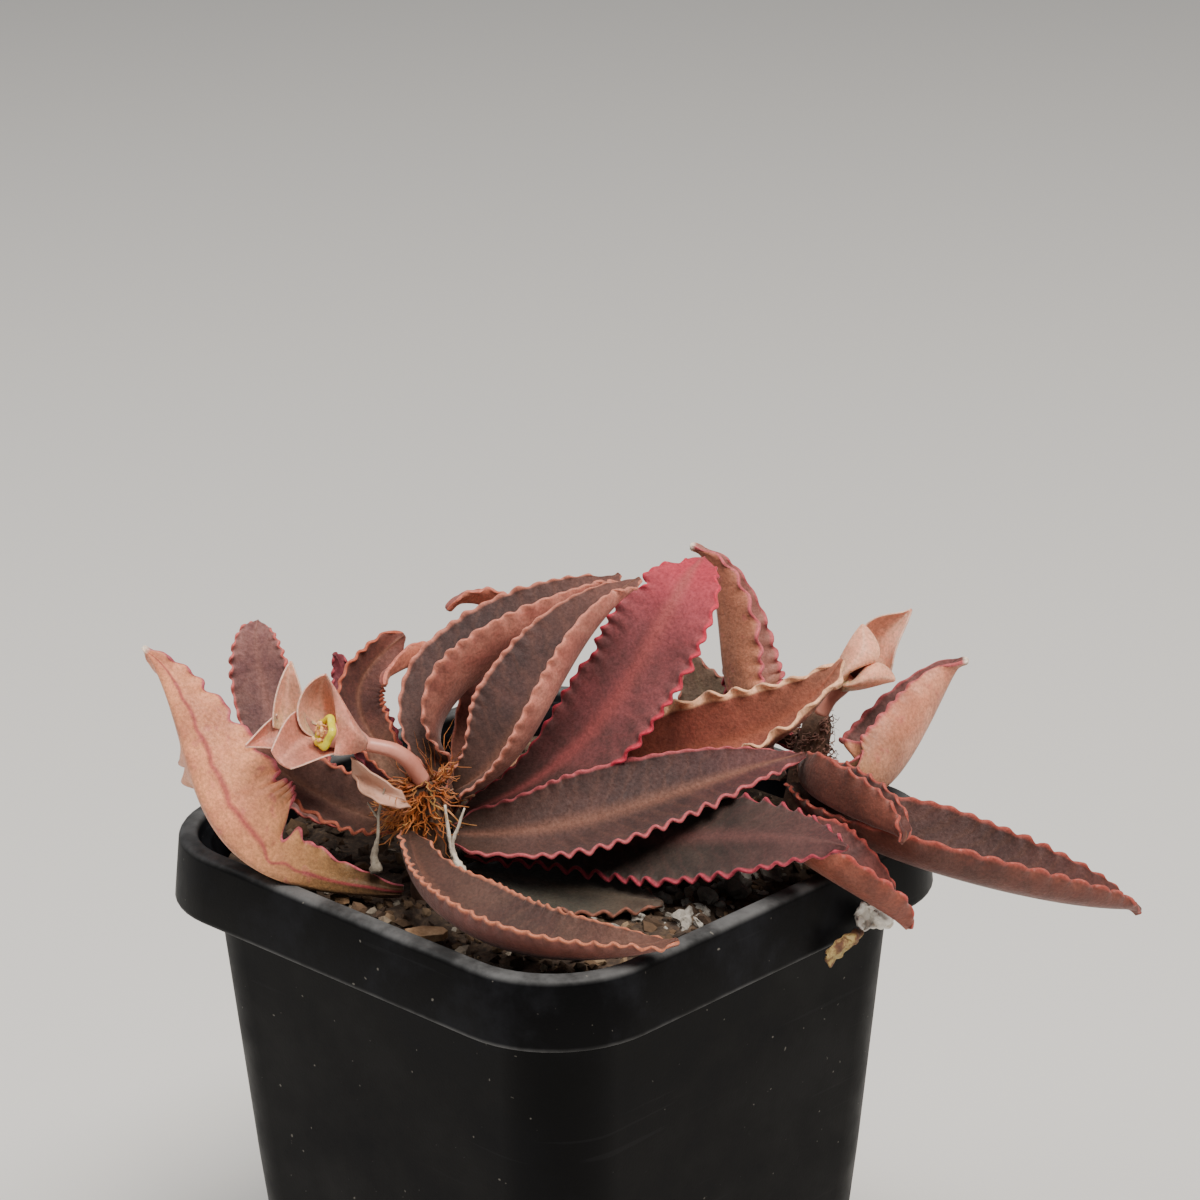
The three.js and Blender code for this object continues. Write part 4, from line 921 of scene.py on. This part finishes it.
def tumbled(draw, x, y, z, size, rough):
    """A bend that turns a ball into a rough lump of the given size at its place."""
    angle = draw.uniform(0, 6.28)
    axis = Vector((draw.random(), draw.random(), 1.0)).normalized()
    turn = np.array(Matrix.Rotation(angle, 3, axis))
    stretch = np.array([draw.uniform(0.6, 1.3), draw.uniform(0.6, 1.2), draw.uniform(0.45, 0.8)])
    offset = Vector((draw.random() * 50, draw.random() * 50, 0))

    def bend(corners):
        lumps = np.array([1 + rough * noise.noise(Vector(c) * 1.3 + offset) for c in corners])
        moved = (corners * lumps[:, None] * stretch * size) @ turn.T
        return moved + np.array([x, y, z]), (corners[:, 2] + 1) / 2

    return bend


def crumbs_piece():
    """Loose bark, peat and grit crumbs of 0.3 to 1.4 mm over the mix."""
    draw = random.Random(41)
    half = BODY_HALF_TOP - WALL - 0.6
    placements = []
    while len(placements) < CRUMB_COUNT:
        x, y = draw.uniform(-half, half), draw.uniform(-half, half)
        if square_reach(x, y, half, BODY_CORNER) * half < max(abs(x), abs(y)) + 0.3:
            continue
        size = 0.3 + 1.0 * draw.random() ** 2.5
        z = crumbly(x, y) + TOP_LIFT + size * 0.2
        placements.append((tumbled(draw, x, y, z, size, 0.7), draw.random()))
    piece = copied("soil_crumbs", crumb_pattern(1), placements)
    piece.data.materials.append(crumb_material)
    return seat(piece, "potting_mix")


def grit_piece():
    """Pale pumice grains."""
    draw = random.Random(17)
    placements = []
    for x, y, size in GRIT_SPOTS:
        z = crumbly(x, y) + size * 0.35
        placements.append((tumbled(draw, x, y, z, size, 0.9), draw.random()))
        for _ in range(GRIT_CHIPS):
            near_x, near_y = x + draw.gauss(0, 2.0), y + draw.gauss(0, 2.0)
            if max(abs(near_x), abs(near_y)) < GRIT_REACH:
                small = draw.uniform(0.3, 0.8)
                low = crumbly(near_x, near_y) + small * 0.4
                placements.append((tumbled(draw, near_x, near_y, low, small, 0.8), draw.random()))
    piece = copied("soil_pumice", crumb_pattern(3), placements)
    piece.data.materials.append(pumice_material)
    return seat(piece, "potting_mix")


def earthy(name, stops, scale, depth, rough):
    """Matt crumbly matter: colour from a noise over the given ramp, with relief."""
    material, tree, shader, place = new_material(name)
    grains = add(
        tree, "TexNoise", None, {"Scale": scale, "Detail": 8.0, "Roughness": 0.7},
        {"Vector": (place, "Object")},
    )
    tone = add(tree, "ValToRGB", None, None, {"Fac": (grains, "Fac")}, stops)
    relief = add(tree, "Bump", None, {"Strength": 0.8, "Distance": depth}, {"Height": (grains, "Fac")})
    fill(tree, shader, {"Roughness": rough}, {"Base Color": (tone, 0), "Normal": (relief, 0)})
    return material


def tinted(name, along_stops, tint_stops, share, scale, depth, rough):
    """Dry or hairy matter whose colour runs along each copy and differs from copy to copy."""
    material, tree, shader, place = new_material(name)
    where = add(tree, "UVMap", {"uv_map": "tint"})
    parts = add(tree, "SeparateXYZ", links={0: (where, "UV")})
    along = add(tree, "ValToRGB", None, None, {"Fac": (parts, "X")}, along_stops)
    tint = add(tree, "ValToRGB", None, None, {"Fac": (parts, "Y")}, tint_stops)
    grains = add(
        tree, "TexNoise", None, {"Scale": scale, "Detail": 5.0, "Roughness": 0.65},
        {"Vector": (place, "Object")},
    )
    both = add(tree, "Mix", BLEND, {0: share}, {6: (along, 0), 7: (tint, 0)})
    shade = add(tree, "MapRange", None, {1: 0.3, 2: 0.7, 3: 0.7, 4: 1.15}, {0: (grains, "Fac")})
    toned = add(tree, "Mix", SHADING, {0: 1.0}, {6: (both, 2), 7: (shade, 0)})
    relief = add(tree, "Bump", None, {"Strength": 0.6, "Distance": depth}, {"Height": (grains, "Fac")})
    fill(tree, shader, {"Roughness": rough}, {"Base Color": (toned, 2), "Normal": (relief, 0)})
    return material


# The crowns: a stout scarred stem head ringed with bristly stipules.


def bristle_pattern(sides, steps):
    """A thin cone along z from 0 to 1, cut into lengths so that it can bend."""
    rings = []
    for k in range(steps + 1):
        t = k / steps
        radius = (1 - 0.75 * t) * 0.5
        angles = [2 * math.pi * i / sides for i in range(sides)]
        rings.append([(radius * math.cos(angle), radius * math.sin(angle), t) for angle in angles])
    piece = ringed_piece("bristle", rings)
    for vert in piece.data.vertices:
        vert.co = vert.co / MM
    return piece


def bristle_bend(root, way, length, width, droop, side, curl):
    """A bend that lays a straight bristle from its root, drooping, bending and waving."""
    way = Vector(way).normalized()
    across = way.cross(Vector((0.2, 0.1, 1.0))).normalized()
    up = across.cross(way)

    def bend(corners):
        t = corners[:, 2]
        line = np.array(root) + np.outer(t * length, np.array(way))
        sway = t**2 * side * length + t * 0.42 * np.sin(t * 10 + curl)
        line = line + np.outer(sway, np.array(across))
        line = line + np.outer(t * 0.36 * np.cos(t * 9 + curl * 1.7), np.array(up))
        line = line - np.outer(t**2 * droop * length, np.array((0, 0, 1.0)))
        line = line + np.outer(corners[:, 0] * width, np.array(across))
        return line + np.outer(corners[:, 1] * width, np.array(up)), t

    return bend


def tuft_placements(plan):
    draw = random.Random(plan["seed"])
    placements = []
    for _ in range(plan["count"]):
        heading = draw.gauss(math.radians(plan["heading"]), math.radians(plan["fan"]))
        lift = math.radians(draw.uniform(*plan["lift"]))
        way = (math.cos(heading) * math.cos(lift), math.sin(heading) * math.cos(lift), math.sin(lift))
        root = (
            plan["centre"][0] + plan["ring"] * math.cos(heading),
            plan["centre"][1] + plan["ring"] * math.sin(heading),
            draw.uniform(*plan["height"]),
        )
        length = plan["length"] * draw.uniform(0.45, 1.1)
        bend = bristle_bend(
            root, way, length, draw.uniform(*plan["width"]), draw.uniform(-0.1, 0.4), draw.uniform(-0.5, 0.5),
            draw.uniform(0, 6.28),
        )
        placements.append((bend, draw.random()))
    return placements


def crown_piece(name, stem, plans, slot, material):
    bark = stalk_piece(name + "_stem", stem, 20, 0.08, 8)
    bark.data.materials.append(plain["bark"])
    seat(bark, slot, name)
    placements = [one for plan in plans for one in tuft_placements(plan)]
    hairs = copied(name + "_bristles", bristle_pattern(BRISTLE_SIDES, BRISTLE_STEPS), placements)
    hairs.data.materials.append(material)
    seat(hairs, slot)


BRISTLE_SIDES = 4
BRISTLE_STEPS = 6
CROWN_LEFT_STEM = [
    (-1, -19, 64.3, 2.1), (-1, -19, 71, 2.1), (-1, -19, 75, 2.05), (-1, -19, 80, 2.1),
    (-1, -19.1, 83.6, 1.9), (-1, -19.2, 85, 1.1),
]
CROWN_RIGHT_STEM = [
    (16.8, 23.3, 64.3, 2.1), (16.8, 23.3, 71, 2.1), (17.3, 23.9, 76, 2.0), (18, 24.5, 81, 2.0),
    (18.6, 25, 84.6, 1.7), (18.8, 25.2, 85.8, 1.0),
]
# Tufts: headings are in degrees round from +x; the fan is their spread.
TUFTS_LEFT = [
    {"centre": (-1, -19.4), "ring": 1.4, "height": (80.5, 85.5), "length": 4.6, "lift": (-50, 30),
     "width": (0.2, 0.42), "heading": 256, "fan": 58, "count": 190, "seed": 11},
    {"centre": (-1, -19.3), "ring": 1.2, "height": (83, 86), "length": 3.4, "lift": (-20, 70),
     "width": (0.18, 0.36), "heading": 60, "fan": 80, "count": 80, "seed": 12},
    {"centre": (-0.6, -17.4), "ring": 0.8, "height": (84, 86), "length": 6.2, "lift": (58, 85),
     "width": (0.12, 0.2), "heading": 120, "fan": 60, "count": 26, "seed": 13},
]
TUFTS_RIGHT = [
    {"centre": (18.2, 24.6), "ring": 1.7, "height": (76, 85.5), "length": 1.5, "lift": (-30, 60),
     "width": (0.2, 0.4), "heading": 300, "fan": 110, "count": 170, "seed": 23},
]


# Flower heads.


def facing_turn(facing):
    return Vector((0, 0, 1)).rotation_difference(Vector(facing).normalized()).to_matrix().to_4x4()


def nectar_ring(name, mouth, facing, radius, tube):
    fresh_start(name)
    bpy.ops.mesh.primitive_torus_add(
        major_radius=radius * MM, minor_radius=tube * MM, major_segments=48, minor_segments=12
    )
    piece = bpy.context.active_object
    piece.name = name
    for vert in piece.data.vertices:
        angle = math.atan2(vert.co.y, vert.co.x)
        vert.co.xy *= 1 + 0.1 * math.cos(5 * angle)
        vert.co.z *= 1.2
    piece.data.transform(Matrix.Translation(Vector(mouth) * MM) @ facing_turn(facing))
    bpy.ops.object.shade_smooth()
    return piece


def anthers(name, mouth, facing, count, circle, seed):
    """Small two-lobed anthers on short filaments inside the ring."""
    draw = random.Random(seed)
    turn = facing_turn(facing)
    pieces = []
    for k in range(count):
        angle = 2 * math.pi * (k + draw.uniform(-0.2, 0.2)) / count
        reach = circle * draw.uniform(0.45, 1.15)
        foot = Vector((reach * 0.7 * math.cos(angle), reach * 0.7 * math.sin(angle), -0.6))
        head = Vector((reach * math.cos(angle), reach * math.sin(angle), draw.uniform(0.5, 1.1)))
        ends = [turn @ foot + Vector(mouth), turn @ head + Vector(mouth)]
        rows = [(*ends[0], 0.09), (*((ends[0] + ends[1]) / 2), 0.08), (*ends[1], 0.07)]
        thread = stalk_piece(name + "_thread", rows, 6)
        thread.data.materials.append(plain["anther"])
        pieces.append(thread)
        for lobe in (-1, 1):
            fresh_start(name)
            bpy.ops.mesh.primitive_uv_sphere_add(segments=10, ring_count=6, radius=0.2 * MM)
            ball = bpy.context.active_object
            shift = turn @ (head + Vector((-math.sin(angle), math.cos(angle), 0)) * 0.15 * lobe)
            stretch = Matrix.Diagonal((1, 1, 1.2, 1))
            ball.data.transform(Matrix.Translation((shift + Vector(mouth)) * MM) @ stretch)
            ball.data.materials.append(plain["anther"])
            bpy.ops.object.shade_smooth()
            pieces.append(ball)
    return joined(name, pieces)


FLOWER_THROAT = (-4.3, -25.0, 90.8)
FLOWER_MOUTH = (-6.1, -29.2, 92.9)
NECTARY_RADIUS = 1.55
NECTARY_TUBE = 0.4
ANTHER_COUNT = 9
ANTHER_CIRCLE = 1.0

# Bracts: the left edge, middle and right edge of each, from its foot to its tip.
LEFT_BRACTS = {
    "hood": (
        [(-8.1, -28.5, 91.5), (-8.8, -30.6, 93.9), (-9.0, -29.7, 96.9), (-8.4, -26.7, 98.5)],
        [(-8.3, -26.6, 91.1), (-9.6, -26.5, 93.2), (-9.9, -26.4, 95.7), (-8.4, -26.7, 98.5)],
        [(-6.2, -27.0, 90.7), (-6.0, -26.9, 93.2), (-6.6, -27.0, 96.0), (-8.5, -26.7, 98.5)],
    ),
    "fan": (
        [(-3.1, -25.9, 92.1), (-4.2, -26.6, 93.9), (-6.0, -26.8, 96.1), (-8.4, -26.7, 98.5)],
        [(-2.5, -26.3, 91.8), (-2.7, -27.6, 93.3), (-3.9, -27.9, 94.3), (-5.9, -27.7, 94.9)],
        [(-2.8, -26.2, 91.1), (-3.1, -27.6, 90.9), (-3.4, -29.0, 91.0), (-3.9, -30.1, 91.2)],
    ),
    "lip": (
        [(-9.7, -29.2, 93.2), (-9.7, -29.8, 94.6), (-9.3, -31.5, 94.6),
         (-8.8, -33.4, 93.5), (-8.2, -35.3, 91.9)],
        [(-6.0, -26.4, 91.5), (-7.9, -27.7, 91.3), (-8.5, -29.9, 91.5),
         (-8.2, -32.4, 91.2), (-7.6, -34.8, 90.6)],
        [(-3.9, -27.6, 91.0), (-4.7, -29.4, 90.9), (-5.2, -31.0, 90.7),
         (-5.7, -32.8, 90.4), (-6.3, -34.4, 90.2)],
    ),
    "bud_tall": (
        [(-11.5, -31.9, 92.8), (-11.7, -31.5, 95.3), (-11.8, -30.4, 97.7), (-11.9, -28.7, 99.7)],
        [(-11.6, -30.8, 92.2), (-11.8, -29.7, 94.7), (-11.9, -29.3, 97.3), (-11.9, -28.7, 99.7)],
        [(-10.4, -30.6, 92.7), (-9.8, -29.3, 95.2), (-10.5, -29.0, 97.7), (-11.9, -28.7, 99.7)],
    ),
    "bud_low": (
        [(-11.6, -31.2, 94.2), (-12.0, -32.7, 93.3), (-12.1, -34.2, 92.4), (-12.3, -35.5, 91.5)],
        [(-11.8, -31.1, 92.0), (-12.4, -32.4, 91.7), (-12.6, -33.8, 91.5), (-12.3, -35.5, 91.5)],
        [(-10.7, -32.2, 90.7), (-11.4, -33.3, 91.0), (-11.9, -34.5, 91.3), (-12.3, -35.5, 91.5)],
    ),
}
# Three bracts closed into a beak, with a small gap left between the two near ones.
RIGHT_BRACTS = {
    "beak_upper": (
        [(20.2, 25.1, 89.1), (20.3, 26.1, 91.5), (20.7, 27.4, 93.7), (21.0, 28.5, 95.1), (21.2, 29.8, 96.1)],
        [(21.7, 24.6, 89.6), (22.5, 25.3, 91.8), (23.2, 27.0, 93.5), (22.4, 28.6, 95.0), (21.2, 29.8, 96.1)],
        [(21.8, 26.4, 90.2), (22.8, 27.1, 92.1), (24.2, 28.6, 92.8), (23.5, 29.6, 94.4), (21.2, 29.8, 96.1)],
    ),
    "beak_lower": (
        [(21.8, 26.4, 90.2), (22.9, 27.0, 90.9), (23.7, 28.1, 92.2), (24.8, 29.4, 92.0), (26.0, 30.0, 90.4)],
        [(22.0, 25.4, 90.1), (23.7, 25.9, 90.6), (24.8, 26.9, 91.2), (25.5, 28.6, 91.0), (26.0, 30.0, 90.4)],
        [(21.1, 26.0, 89.0), (22.3, 26.7, 89.2), (23.5, 27.7, 89.5), (24.8, 28.9, 90.0), (26.0, 30.0, 90.4)],
    ),
    "beak_far": (
        [(19.6, 28.6, 91.0), (20.2, 30.5, 94.4), (21.2, 31.8, 96.2), (23.0, 33.1, 96.9), (24.9, 34.1, 97.7)],
        [(20.3, 29.8, 89.2), (20.4, 31.7, 91.0), (21.3, 32.9, 92.8), (23.0, 33.6, 95.0), (24.9, 34.1, 97.7)],
        [(22.6, 29.1, 89.3), (24.5, 30.6, 90.3), (24.8, 31.0, 92.3), (24.8, 32.0, 94.5), (24.9, 34.1, 97.7)],
    ),
}
OLD_BRACT = (
    [(-0.1, -23.6, 85.8), (-1.0, -25.2, 87.1), (-2.6, -26.5, 88.8), (-4.4, -27.0, 89.9)],
    [(0.5, -23.5, 84.9), (-1.4, -24.5, 85.6), (-3.3, -25.5, 86.5), (-4.8, -26.6, 87.9)],
    [(1.0, -23.4, 84.1), (0.1, -25.3, 84.7), (-1.5, -26.8, 85.5), (-3.2, -27.2, 87.2)],
)
BRACT_MIDDLE = 0.42
BRACT_EDGE = 0.2


def bracts(name, table):
    """Thin bracts, thicker along their middle, joined as one piece."""
    coats = (bract_inner, bract_outer)
    pieces = [spanned_sheet(key, curves, BRACT_MIDDLE, BRACT_EDGE, coats) for key, curves in table.items()]
    return seat(joined(name, pieces), "bract_pink")


def flower_left():
    throat, mouth = FLOWER_THROAT, FLOWER_MOUTH
    facing = Vector(mouth) - Vector(throat)
    middle = (Vector(throat) + Vector(mouth)) / 2
    stems = [
        stalk_piece(
            "peduncle",
            [(-1, -19.6, 85.6, 1.0), (-1.2, -21.2, 88.4, 0.95), (-2, -22.7, 90.0, 0.85), (*throat, 0.8)],
            16, 0.02, 3,
        ),
        stalk_piece("cup", [(*throat, 0.75), (*middle, 1.2), (*mouth, 1.6)], 20),
        stalk_piece(
            "spur", [(-3.9, -24.6, 90.9, 0.38), (-4.4, -25.0, 91.7, 0.3), (-4.7, -25.2, 92.3, 0.12)], 10
        ),
        stalk_piece("branch", [(*throat, 0.5), (-7.2, -25.9, 89.9, 0.5), (-10.2, -27.4, 90.4, 0.7)], 14),
    ]
    for stem in stems:
        stem.data.materials.append(plain["stalk"])
    seat(joined("flower_left_stalk", stems), "bract_pink", "flower_left")
    bracts("flower_left_bracts", LEFT_BRACTS)
    ring = nectar_ring("flower_left_nectary", mouth, facing, NECTARY_RADIUS, NECTARY_TUBE)
    ring.data.materials.append(plain["nectary"])
    seat(ring, "bract_pink")
    heads = anthers("flower_left_anthers", mouth, facing, ANTHER_COUNT, ANTHER_CIRCLE, 5)
    seat(heads, "bract_pink")


def flower_right():
    line = [(18.9, 25.2, 85.6, 0.85), (19.6, 26, 87.6, 0.8), (20.6, 26.8, 89.2, 1.1), (21.4, 27.4, 90.6, 1.3)]
    stem = stalk_piece("flower_right_stalk", line, 18)
    stem.data.materials.append(plain["stalk"])
    seat(stem, "bract_pink", "flower_right")
    bracts("flower_right_bracts", RIGHT_BRACTS)
    # A dark cup in the beak's gap: painted shade seen between the bracts.
    line = [(21.0, 28.3, 89.7, 0.5), (21.8, 28.5, 90.9, 1.2), (22.6, 28.8, 91.8, 0.9)]
    throat = stalk_piece("flower_right_throat_shade", line, 20)
    throat.data.materials.append(plain["cup"])
    seat(throat, "bract_pink")


def old_bract():
    piece = spanned_sheet("bract_old_fold", OLD_BRACT, 0.5, 0.26, (plain["old_bract"],) * 2, 0.25)
    seat(piece, "bract_dry", "bract_old")


# Twigs and scraps.


# Prongs of the dry twigs: points of x, y, z and radius, then sides, knobbliness and seed.
FORKED_PRONGS = [
    ([(3.2, -20.2, 84.1, 0.12), (3.9, -20.5, 81.6, 0.2), (4.4, -20.6, 79.4, 0.24), (5.2, -20.4, 77.6, 0.5),
      (6.2, -19.9, 76.4, 0.34), (7.2, -19.4, 75.2, 0.16)], 9, 0.3, 2),
    ([(5.3, -19.2, 84, 0.1), (5.0, -19.9, 82, 0.18), (4.6, -20.5, 80.2, 0.2), (4.7, -20.6, 78.4, 0.3)],
     9, 0.3, 4),
    ([(5.0, -20.5, 78, 0.2), (4.4, -21.2, 76.8, 0.14), (4.2, -21.6, 75.6, 0.07)], 7, 0.3, 5),
]
LEFT_PRONGS = [
    ([(-1.4, -24.8, 86.6, 0.1), (-2, -25.4, 83.4, 0.16), (-1.9, -25.7, 80.6, 0.18), (-2.5, -25.8, 78.2, 0.42),
      (-2.6, -25.6, 76.1, 0.7)], 9, 0.35, 6),
    ([(-2.0, -25.5, 82.6, 0.18), (-3, -25.7, 83.8, 0.12), (-3.6, -25.6, 84.2, 0.05)], 7, 0.3, 7),
]


def twig(name, prongs, material, node):
    pieces = [stalk_piece("prong", *prong) for prong in prongs]
    for piece in pieces:
        piece.data.materials.append(material)
    return seat(joined(name, pieces), "twig_dry", node)


def papery_scrap():
    """A white papery flake and the brown curl it hangs by, against the pot's band."""
    flake = (
        [(35.6, 11.7, 69.8), (36.6, 12.6, 71.3), (36.2, 15.5, 69.4), (36.8, 17.3, 67.9)],
        [(36.8, 11.0, 69.2), (35.7, 14.1, 69.2), (37.2, 14.4, 69.3), (36.4, 17.4, 67.4)],
        [(35.8, 12.9, 67.5), (36.9, 13.3, 68.2), (35.9, 16.3, 67.1), (36.6, 17.4, 67.1)],
    )
    curl = (
        [(35.8, 13.1, 67.8), (36.6, 9.9, 68.5), (36.2, 8.0, 68.2), (35.9, 6.8, 66.8)],
        [(36.8, 11.6, 67.9), (37.4, 8.8, 68.4), (36.9, 7.5, 67.7), (36.2, 6.3, 66.4)],
        [(35.7, 12.7, 66.7), (36.2, 10.4, 66.7), (36.1, 8.8, 66.3), (35.7, 6.9, 65.5)],
    )
    flake_sheet = spanned_sheet("scrap_white_flake", flake, 0.5, 0.4, (plain["flake"],) * 2, 0.6, 1.6)
    seat(flake_sheet, "papery_scrap", "scrap_papery")
    curl_sheet = spanned_sheet("scrap_brown_curl", curl, 0.5, 0.4, (plain["curl"],) * 2, 0.7, 1.2)
    seat(curl_sheet, "papery_scrap")


# Stage, light and camera.


FLOOR_SIZE = 6.0
ROOM_COLOUR = (0.86, 0.9, 0.95, 1)
ROOM_STRENGTH = 0.17
# Softboxes: place in metres, size, power and colour; both look at a point in the plant.
SOFTBOXES = {
    "softbox_key": ((0.4, -0.12, 0.95), 0.5, 17.0, "FFF9F2"),
    "softbox_left": ((-0.45, -0.55, 0.75), 0.6, 4.5, "FFFFFF"),
}
LIGHT_AIM = (0, 0, 0.08)


def studio():
    fresh_start("floor")
    bpy.ops.mesh.primitive_plane_add(size=FLOOR_SIZE, location=(0, 0, 0))
    floor = bpy.context.active_object
    floor.name = "studio_floor"
    material, tree, shader, _ = new_material("matt pale studio card")
    fill(tree, shader, {"Base Color": linear("DEDCD8"), "Roughness": 0.9}, None)
    floor.data.materials.append(material)
    world = bpy.data.worlds.new("soft room light")
    world.use_nodes = True
    background = world.node_tree.nodes["Background"]
    background.inputs["Color"].default_value = ROOM_COLOUR
    background.inputs["Strength"].default_value = ROOM_STRENGTH
    bpy.context.scene.world = world
    for name, (place, size, power, colour) in SOFTBOXES.items():
        light = bpy.data.lights.new(name, "AREA")
        light.shape = "SQUARE"
        light.size = size
        light.energy = power
        light.color = linear(colour)[:3]
        lamp = bpy.data.objects.new(name, light)
        bpy.context.scene.collection.objects.link(lamp)
        lamp.location = place
        aim = Vector(LIGHT_AIM) - Vector(place)
        lamp.rotation_euler = aim.to_track_quat("-Z", "Y").to_euler()


CAMERA_PLACE = (300.35, -301.41, 256.95)
CAMERA_RIGHT = (0.72082, 0.69301, -0.0123)
CAMERA_UP = (-0.22896, 0.25482, 0.93949)
CAMERA_BACK = (0.65421, -0.67439, 0.34235)
LENS = 120
SENSOR = 36


def camera():
    """The photograph's view: 44 degrees round from the pot's front side and 20 above level."""
    lens = bpy.data.cameras.new("view")
    lens.lens = LENS
    lens.sensor_width = SENSOR
    lens.clip_start = 0.01
    view = bpy.data.objects.new("view", lens)
    bpy.context.scene.collection.objects.link(view)
    axes = Matrix((CAMERA_RIGHT, CAMERA_UP, CAMERA_BACK)).transposed().to_4x4()
    view.matrix_world = Matrix.Translation(Vector(CAMERA_PLACE) * MM) @ axes
    bpy.context.scene.camera = view


camera()
studio()

skins = {name: skin_pair(name) for name in sorted({leaf["skin"] for leaf in LEAVES})}
# Plain matter: its colours over a noise, the noise's scale per metre, relief in metres and
# roughness.
PLAIN = {
    # Sieved, watered and dried: matt, near black to straw, crumbly.
    "mix": (
        "peat and bark potting mix, dry",
        [(0.3, "241B14"), (0.5, "423327"), (0.62, "5A4837"), (0.75, "7C6850")], 900.0, 0.0004, 0.92,
    ),
    # Grown and scarred: matt brown with paler scars.
    "bark": (
        "stem head, scarred bark", [(0.3, "3A281E"), (0.55, "5E4434"), (0.75, "7C6450")],
        700.0, 0.0003, 0.85,
    ),
    # Barkless and weathered: matt, pale and finely fibrous.
    "twig": ("weathered twig", [(0.3, "A89A88"), (0.5, "CFC2B0"), (0.75, "E4DACA")], 900.0, 0.0002, 0.85),
    # Rotted to fibre: matt and grey.
    "stub": ("grey fibrous stub", [(0.3, "6A5E50"), (0.5, "958A7A"), (0.75, "BDB2A2")], 900.0, 0.0003, 0.9),
    # A leaf dried to paper: dull, brown with straw patches.
    "curl": (
        "curled dry leaf", [(0.3, "3E241A"), (0.47, "6E4A34"), (0.56, "A8905A"), (0.75, "C4B48A")],
        420.0, 0.0003, 0.8,
    ),
    # Bleached by light: dull and chalky white.
    "flake": (
        "bleached papery scrap", [(0.3, "B0A08A"), (0.44, "D8D2C8"), (0.75, "ECE8E2")],
        520.0, 0.0003, 0.85,
    ),
    # A bract dried on the plant: dull pink-brown, softly creased.
    "old_bract": (
        "withered bract", [(0.3, "8E6650"), (0.5, "B88A74"), (0.75, "CC9E8A")],
        300.0, 0.0002, 0.6,
    ),
    # Split along the grain: matt, pale wood.
    "chip": ("split bark chip", [(0.3, "7C5C40"), (0.55, "A88462"), (0.75, "C6A684")], 800.0, 0.0003, 0.9),
    # Living and watery: smooth, a soft gleam, even pink.
    "stalk": (
        "flower stalk, fleshy", [(0.3, "BE7664"), (0.55, "CE8A78"), (0.75, "DA9E8C")],
        260.0, 0.00005, 0.42,
    ),
    # Wet with nectar: yellow with a sharp gleam.
    "nectary": (
        "nectary ring, wet", [(0.3, "BCB41E"), (0.55, "DCCC2A"), (0.75, "F0E058")],
        900.0, 0.0001, 0.25,
    ),
    # Painted shade in the right flower's throat: dull, dark red-brown.
    "cup": ("painted shade, right flower's throat", [(0.3, "3A1C18"), (0.6, "5A3228"), (0.8, "7A4A3A")], 900.0, 0.0002, 0.7),
    # Dusted with pollen: matt, pale orange.
    "anther": ("pollen anthers", [(0.3, "E0985A"), (0.6, "F0BC84"), (0.8, "F8D6A8")], 2000.0, 0.0001, 0.7),
}
plain = {key: earthy(*row) for key, row in PLAIN.items()}
# Sieved and dry: matt crumbs, dark with a few pale ones.
crumb_material = tinted(
    "loose bark and peat crumbs", [(0.0, "20160F"), (1.0, "4A3826")],
    [(0.0, "261D16"), (0.45, "4A3626"), (0.75, "6A5038"), (0.9, "927A5E"), (1.0, "A8A092")],
    0.7, 1800.0, 0.0002, 0.92,
)
# Crushed volcanic glass: matt, pale grey and full of holes.
pumice_material = tinted(
    "pumice grit, porous", [(0.0, "6E6860"), (1.0, "A59F96")], [(0.0, "7A736A"), (1.0, "B4AEA4")],
    0.5, 2200.0, 0.00025, 0.88,
)
# Dried stipules: red-brown, near black at the root as painted shade among the packed bristles,
# straw at the tip, a faint gleam.
bristle_brown = tinted(
    "dry stipule bristles, red-brown", [(0.0, "3A180A"), (0.35, "94461A"), (1.0, "C27A38")],
    [(0.0, "6A2E10"), (0.6, "AE5C22"), (0.92, "C89050"), (1.0, "A8A060")], 0.45, 1500.0, 0.00005, 0.6,
)
# Older stipules: duller and more even.
bristle_grey = tinted(
    "dry stipule scales, brown", [(0.0, "3A2620"), (0.5, "6A463A"), (1.0, "8A6050")],
    [(0.0, "4A3028"), (0.6, "744E42"), (1.0, "8A5C50")], 0.4, 1500.0, 0.00005, 0.75,
)
# Thin living bracts: satin, with light coming through; the inner face is painted paler, partly as painted
# light on the side the hood shades.
bract_inner = leaf_skin(
    "living bract, inner face", "E2A488", "D69478", "E4AC92", "F0C8B2", "CCA67E", 0.5,
    rim_from=0.95, foot_shade=0.0, thin=0.6,
)
bract_outer = leaf_skin(
    "living bract, outer face", "C87E68", "BA7460", "CE8E78", "E2B4A2", "BC8674", 0.5,
    rim_from=0.95, foot_shade=0.0, thin=0.4,
)

pot_piece()
soil_piece()
crumbs_piece()
grit_piece()
frame["nodes"]["soil"].data.materials.clear()
frame["nodes"]["soil"].data.materials.append(plain["mix"])
for chip in ("chip_bark", "chip_pale"):
    frame["nodes"][chip].data.materials.clear()
    frame["nodes"][chip].data.materials.append(plain["chip"])
crown_piece("crown_left", CROWN_LEFT_STEM, TUFTS_LEFT, "stipules_brown", bristle_brown)
crown_piece("crown_right", CROWN_RIGHT_STEM, TUFTS_RIGHT, "stipules_dark", bristle_grey)
for number, one in enumerate(LEAVES):
    leaf_piece(one, 100 + 10 * number)
flower_left()
flower_right()
old_bract()
twig("twig_forked_dry", FORKED_PRONGS, plain["twig"], "twig_forked")
twig("twig_left_dry", LEFT_PRONGS, plain["stub"], "twig_left")
papery_scrap()
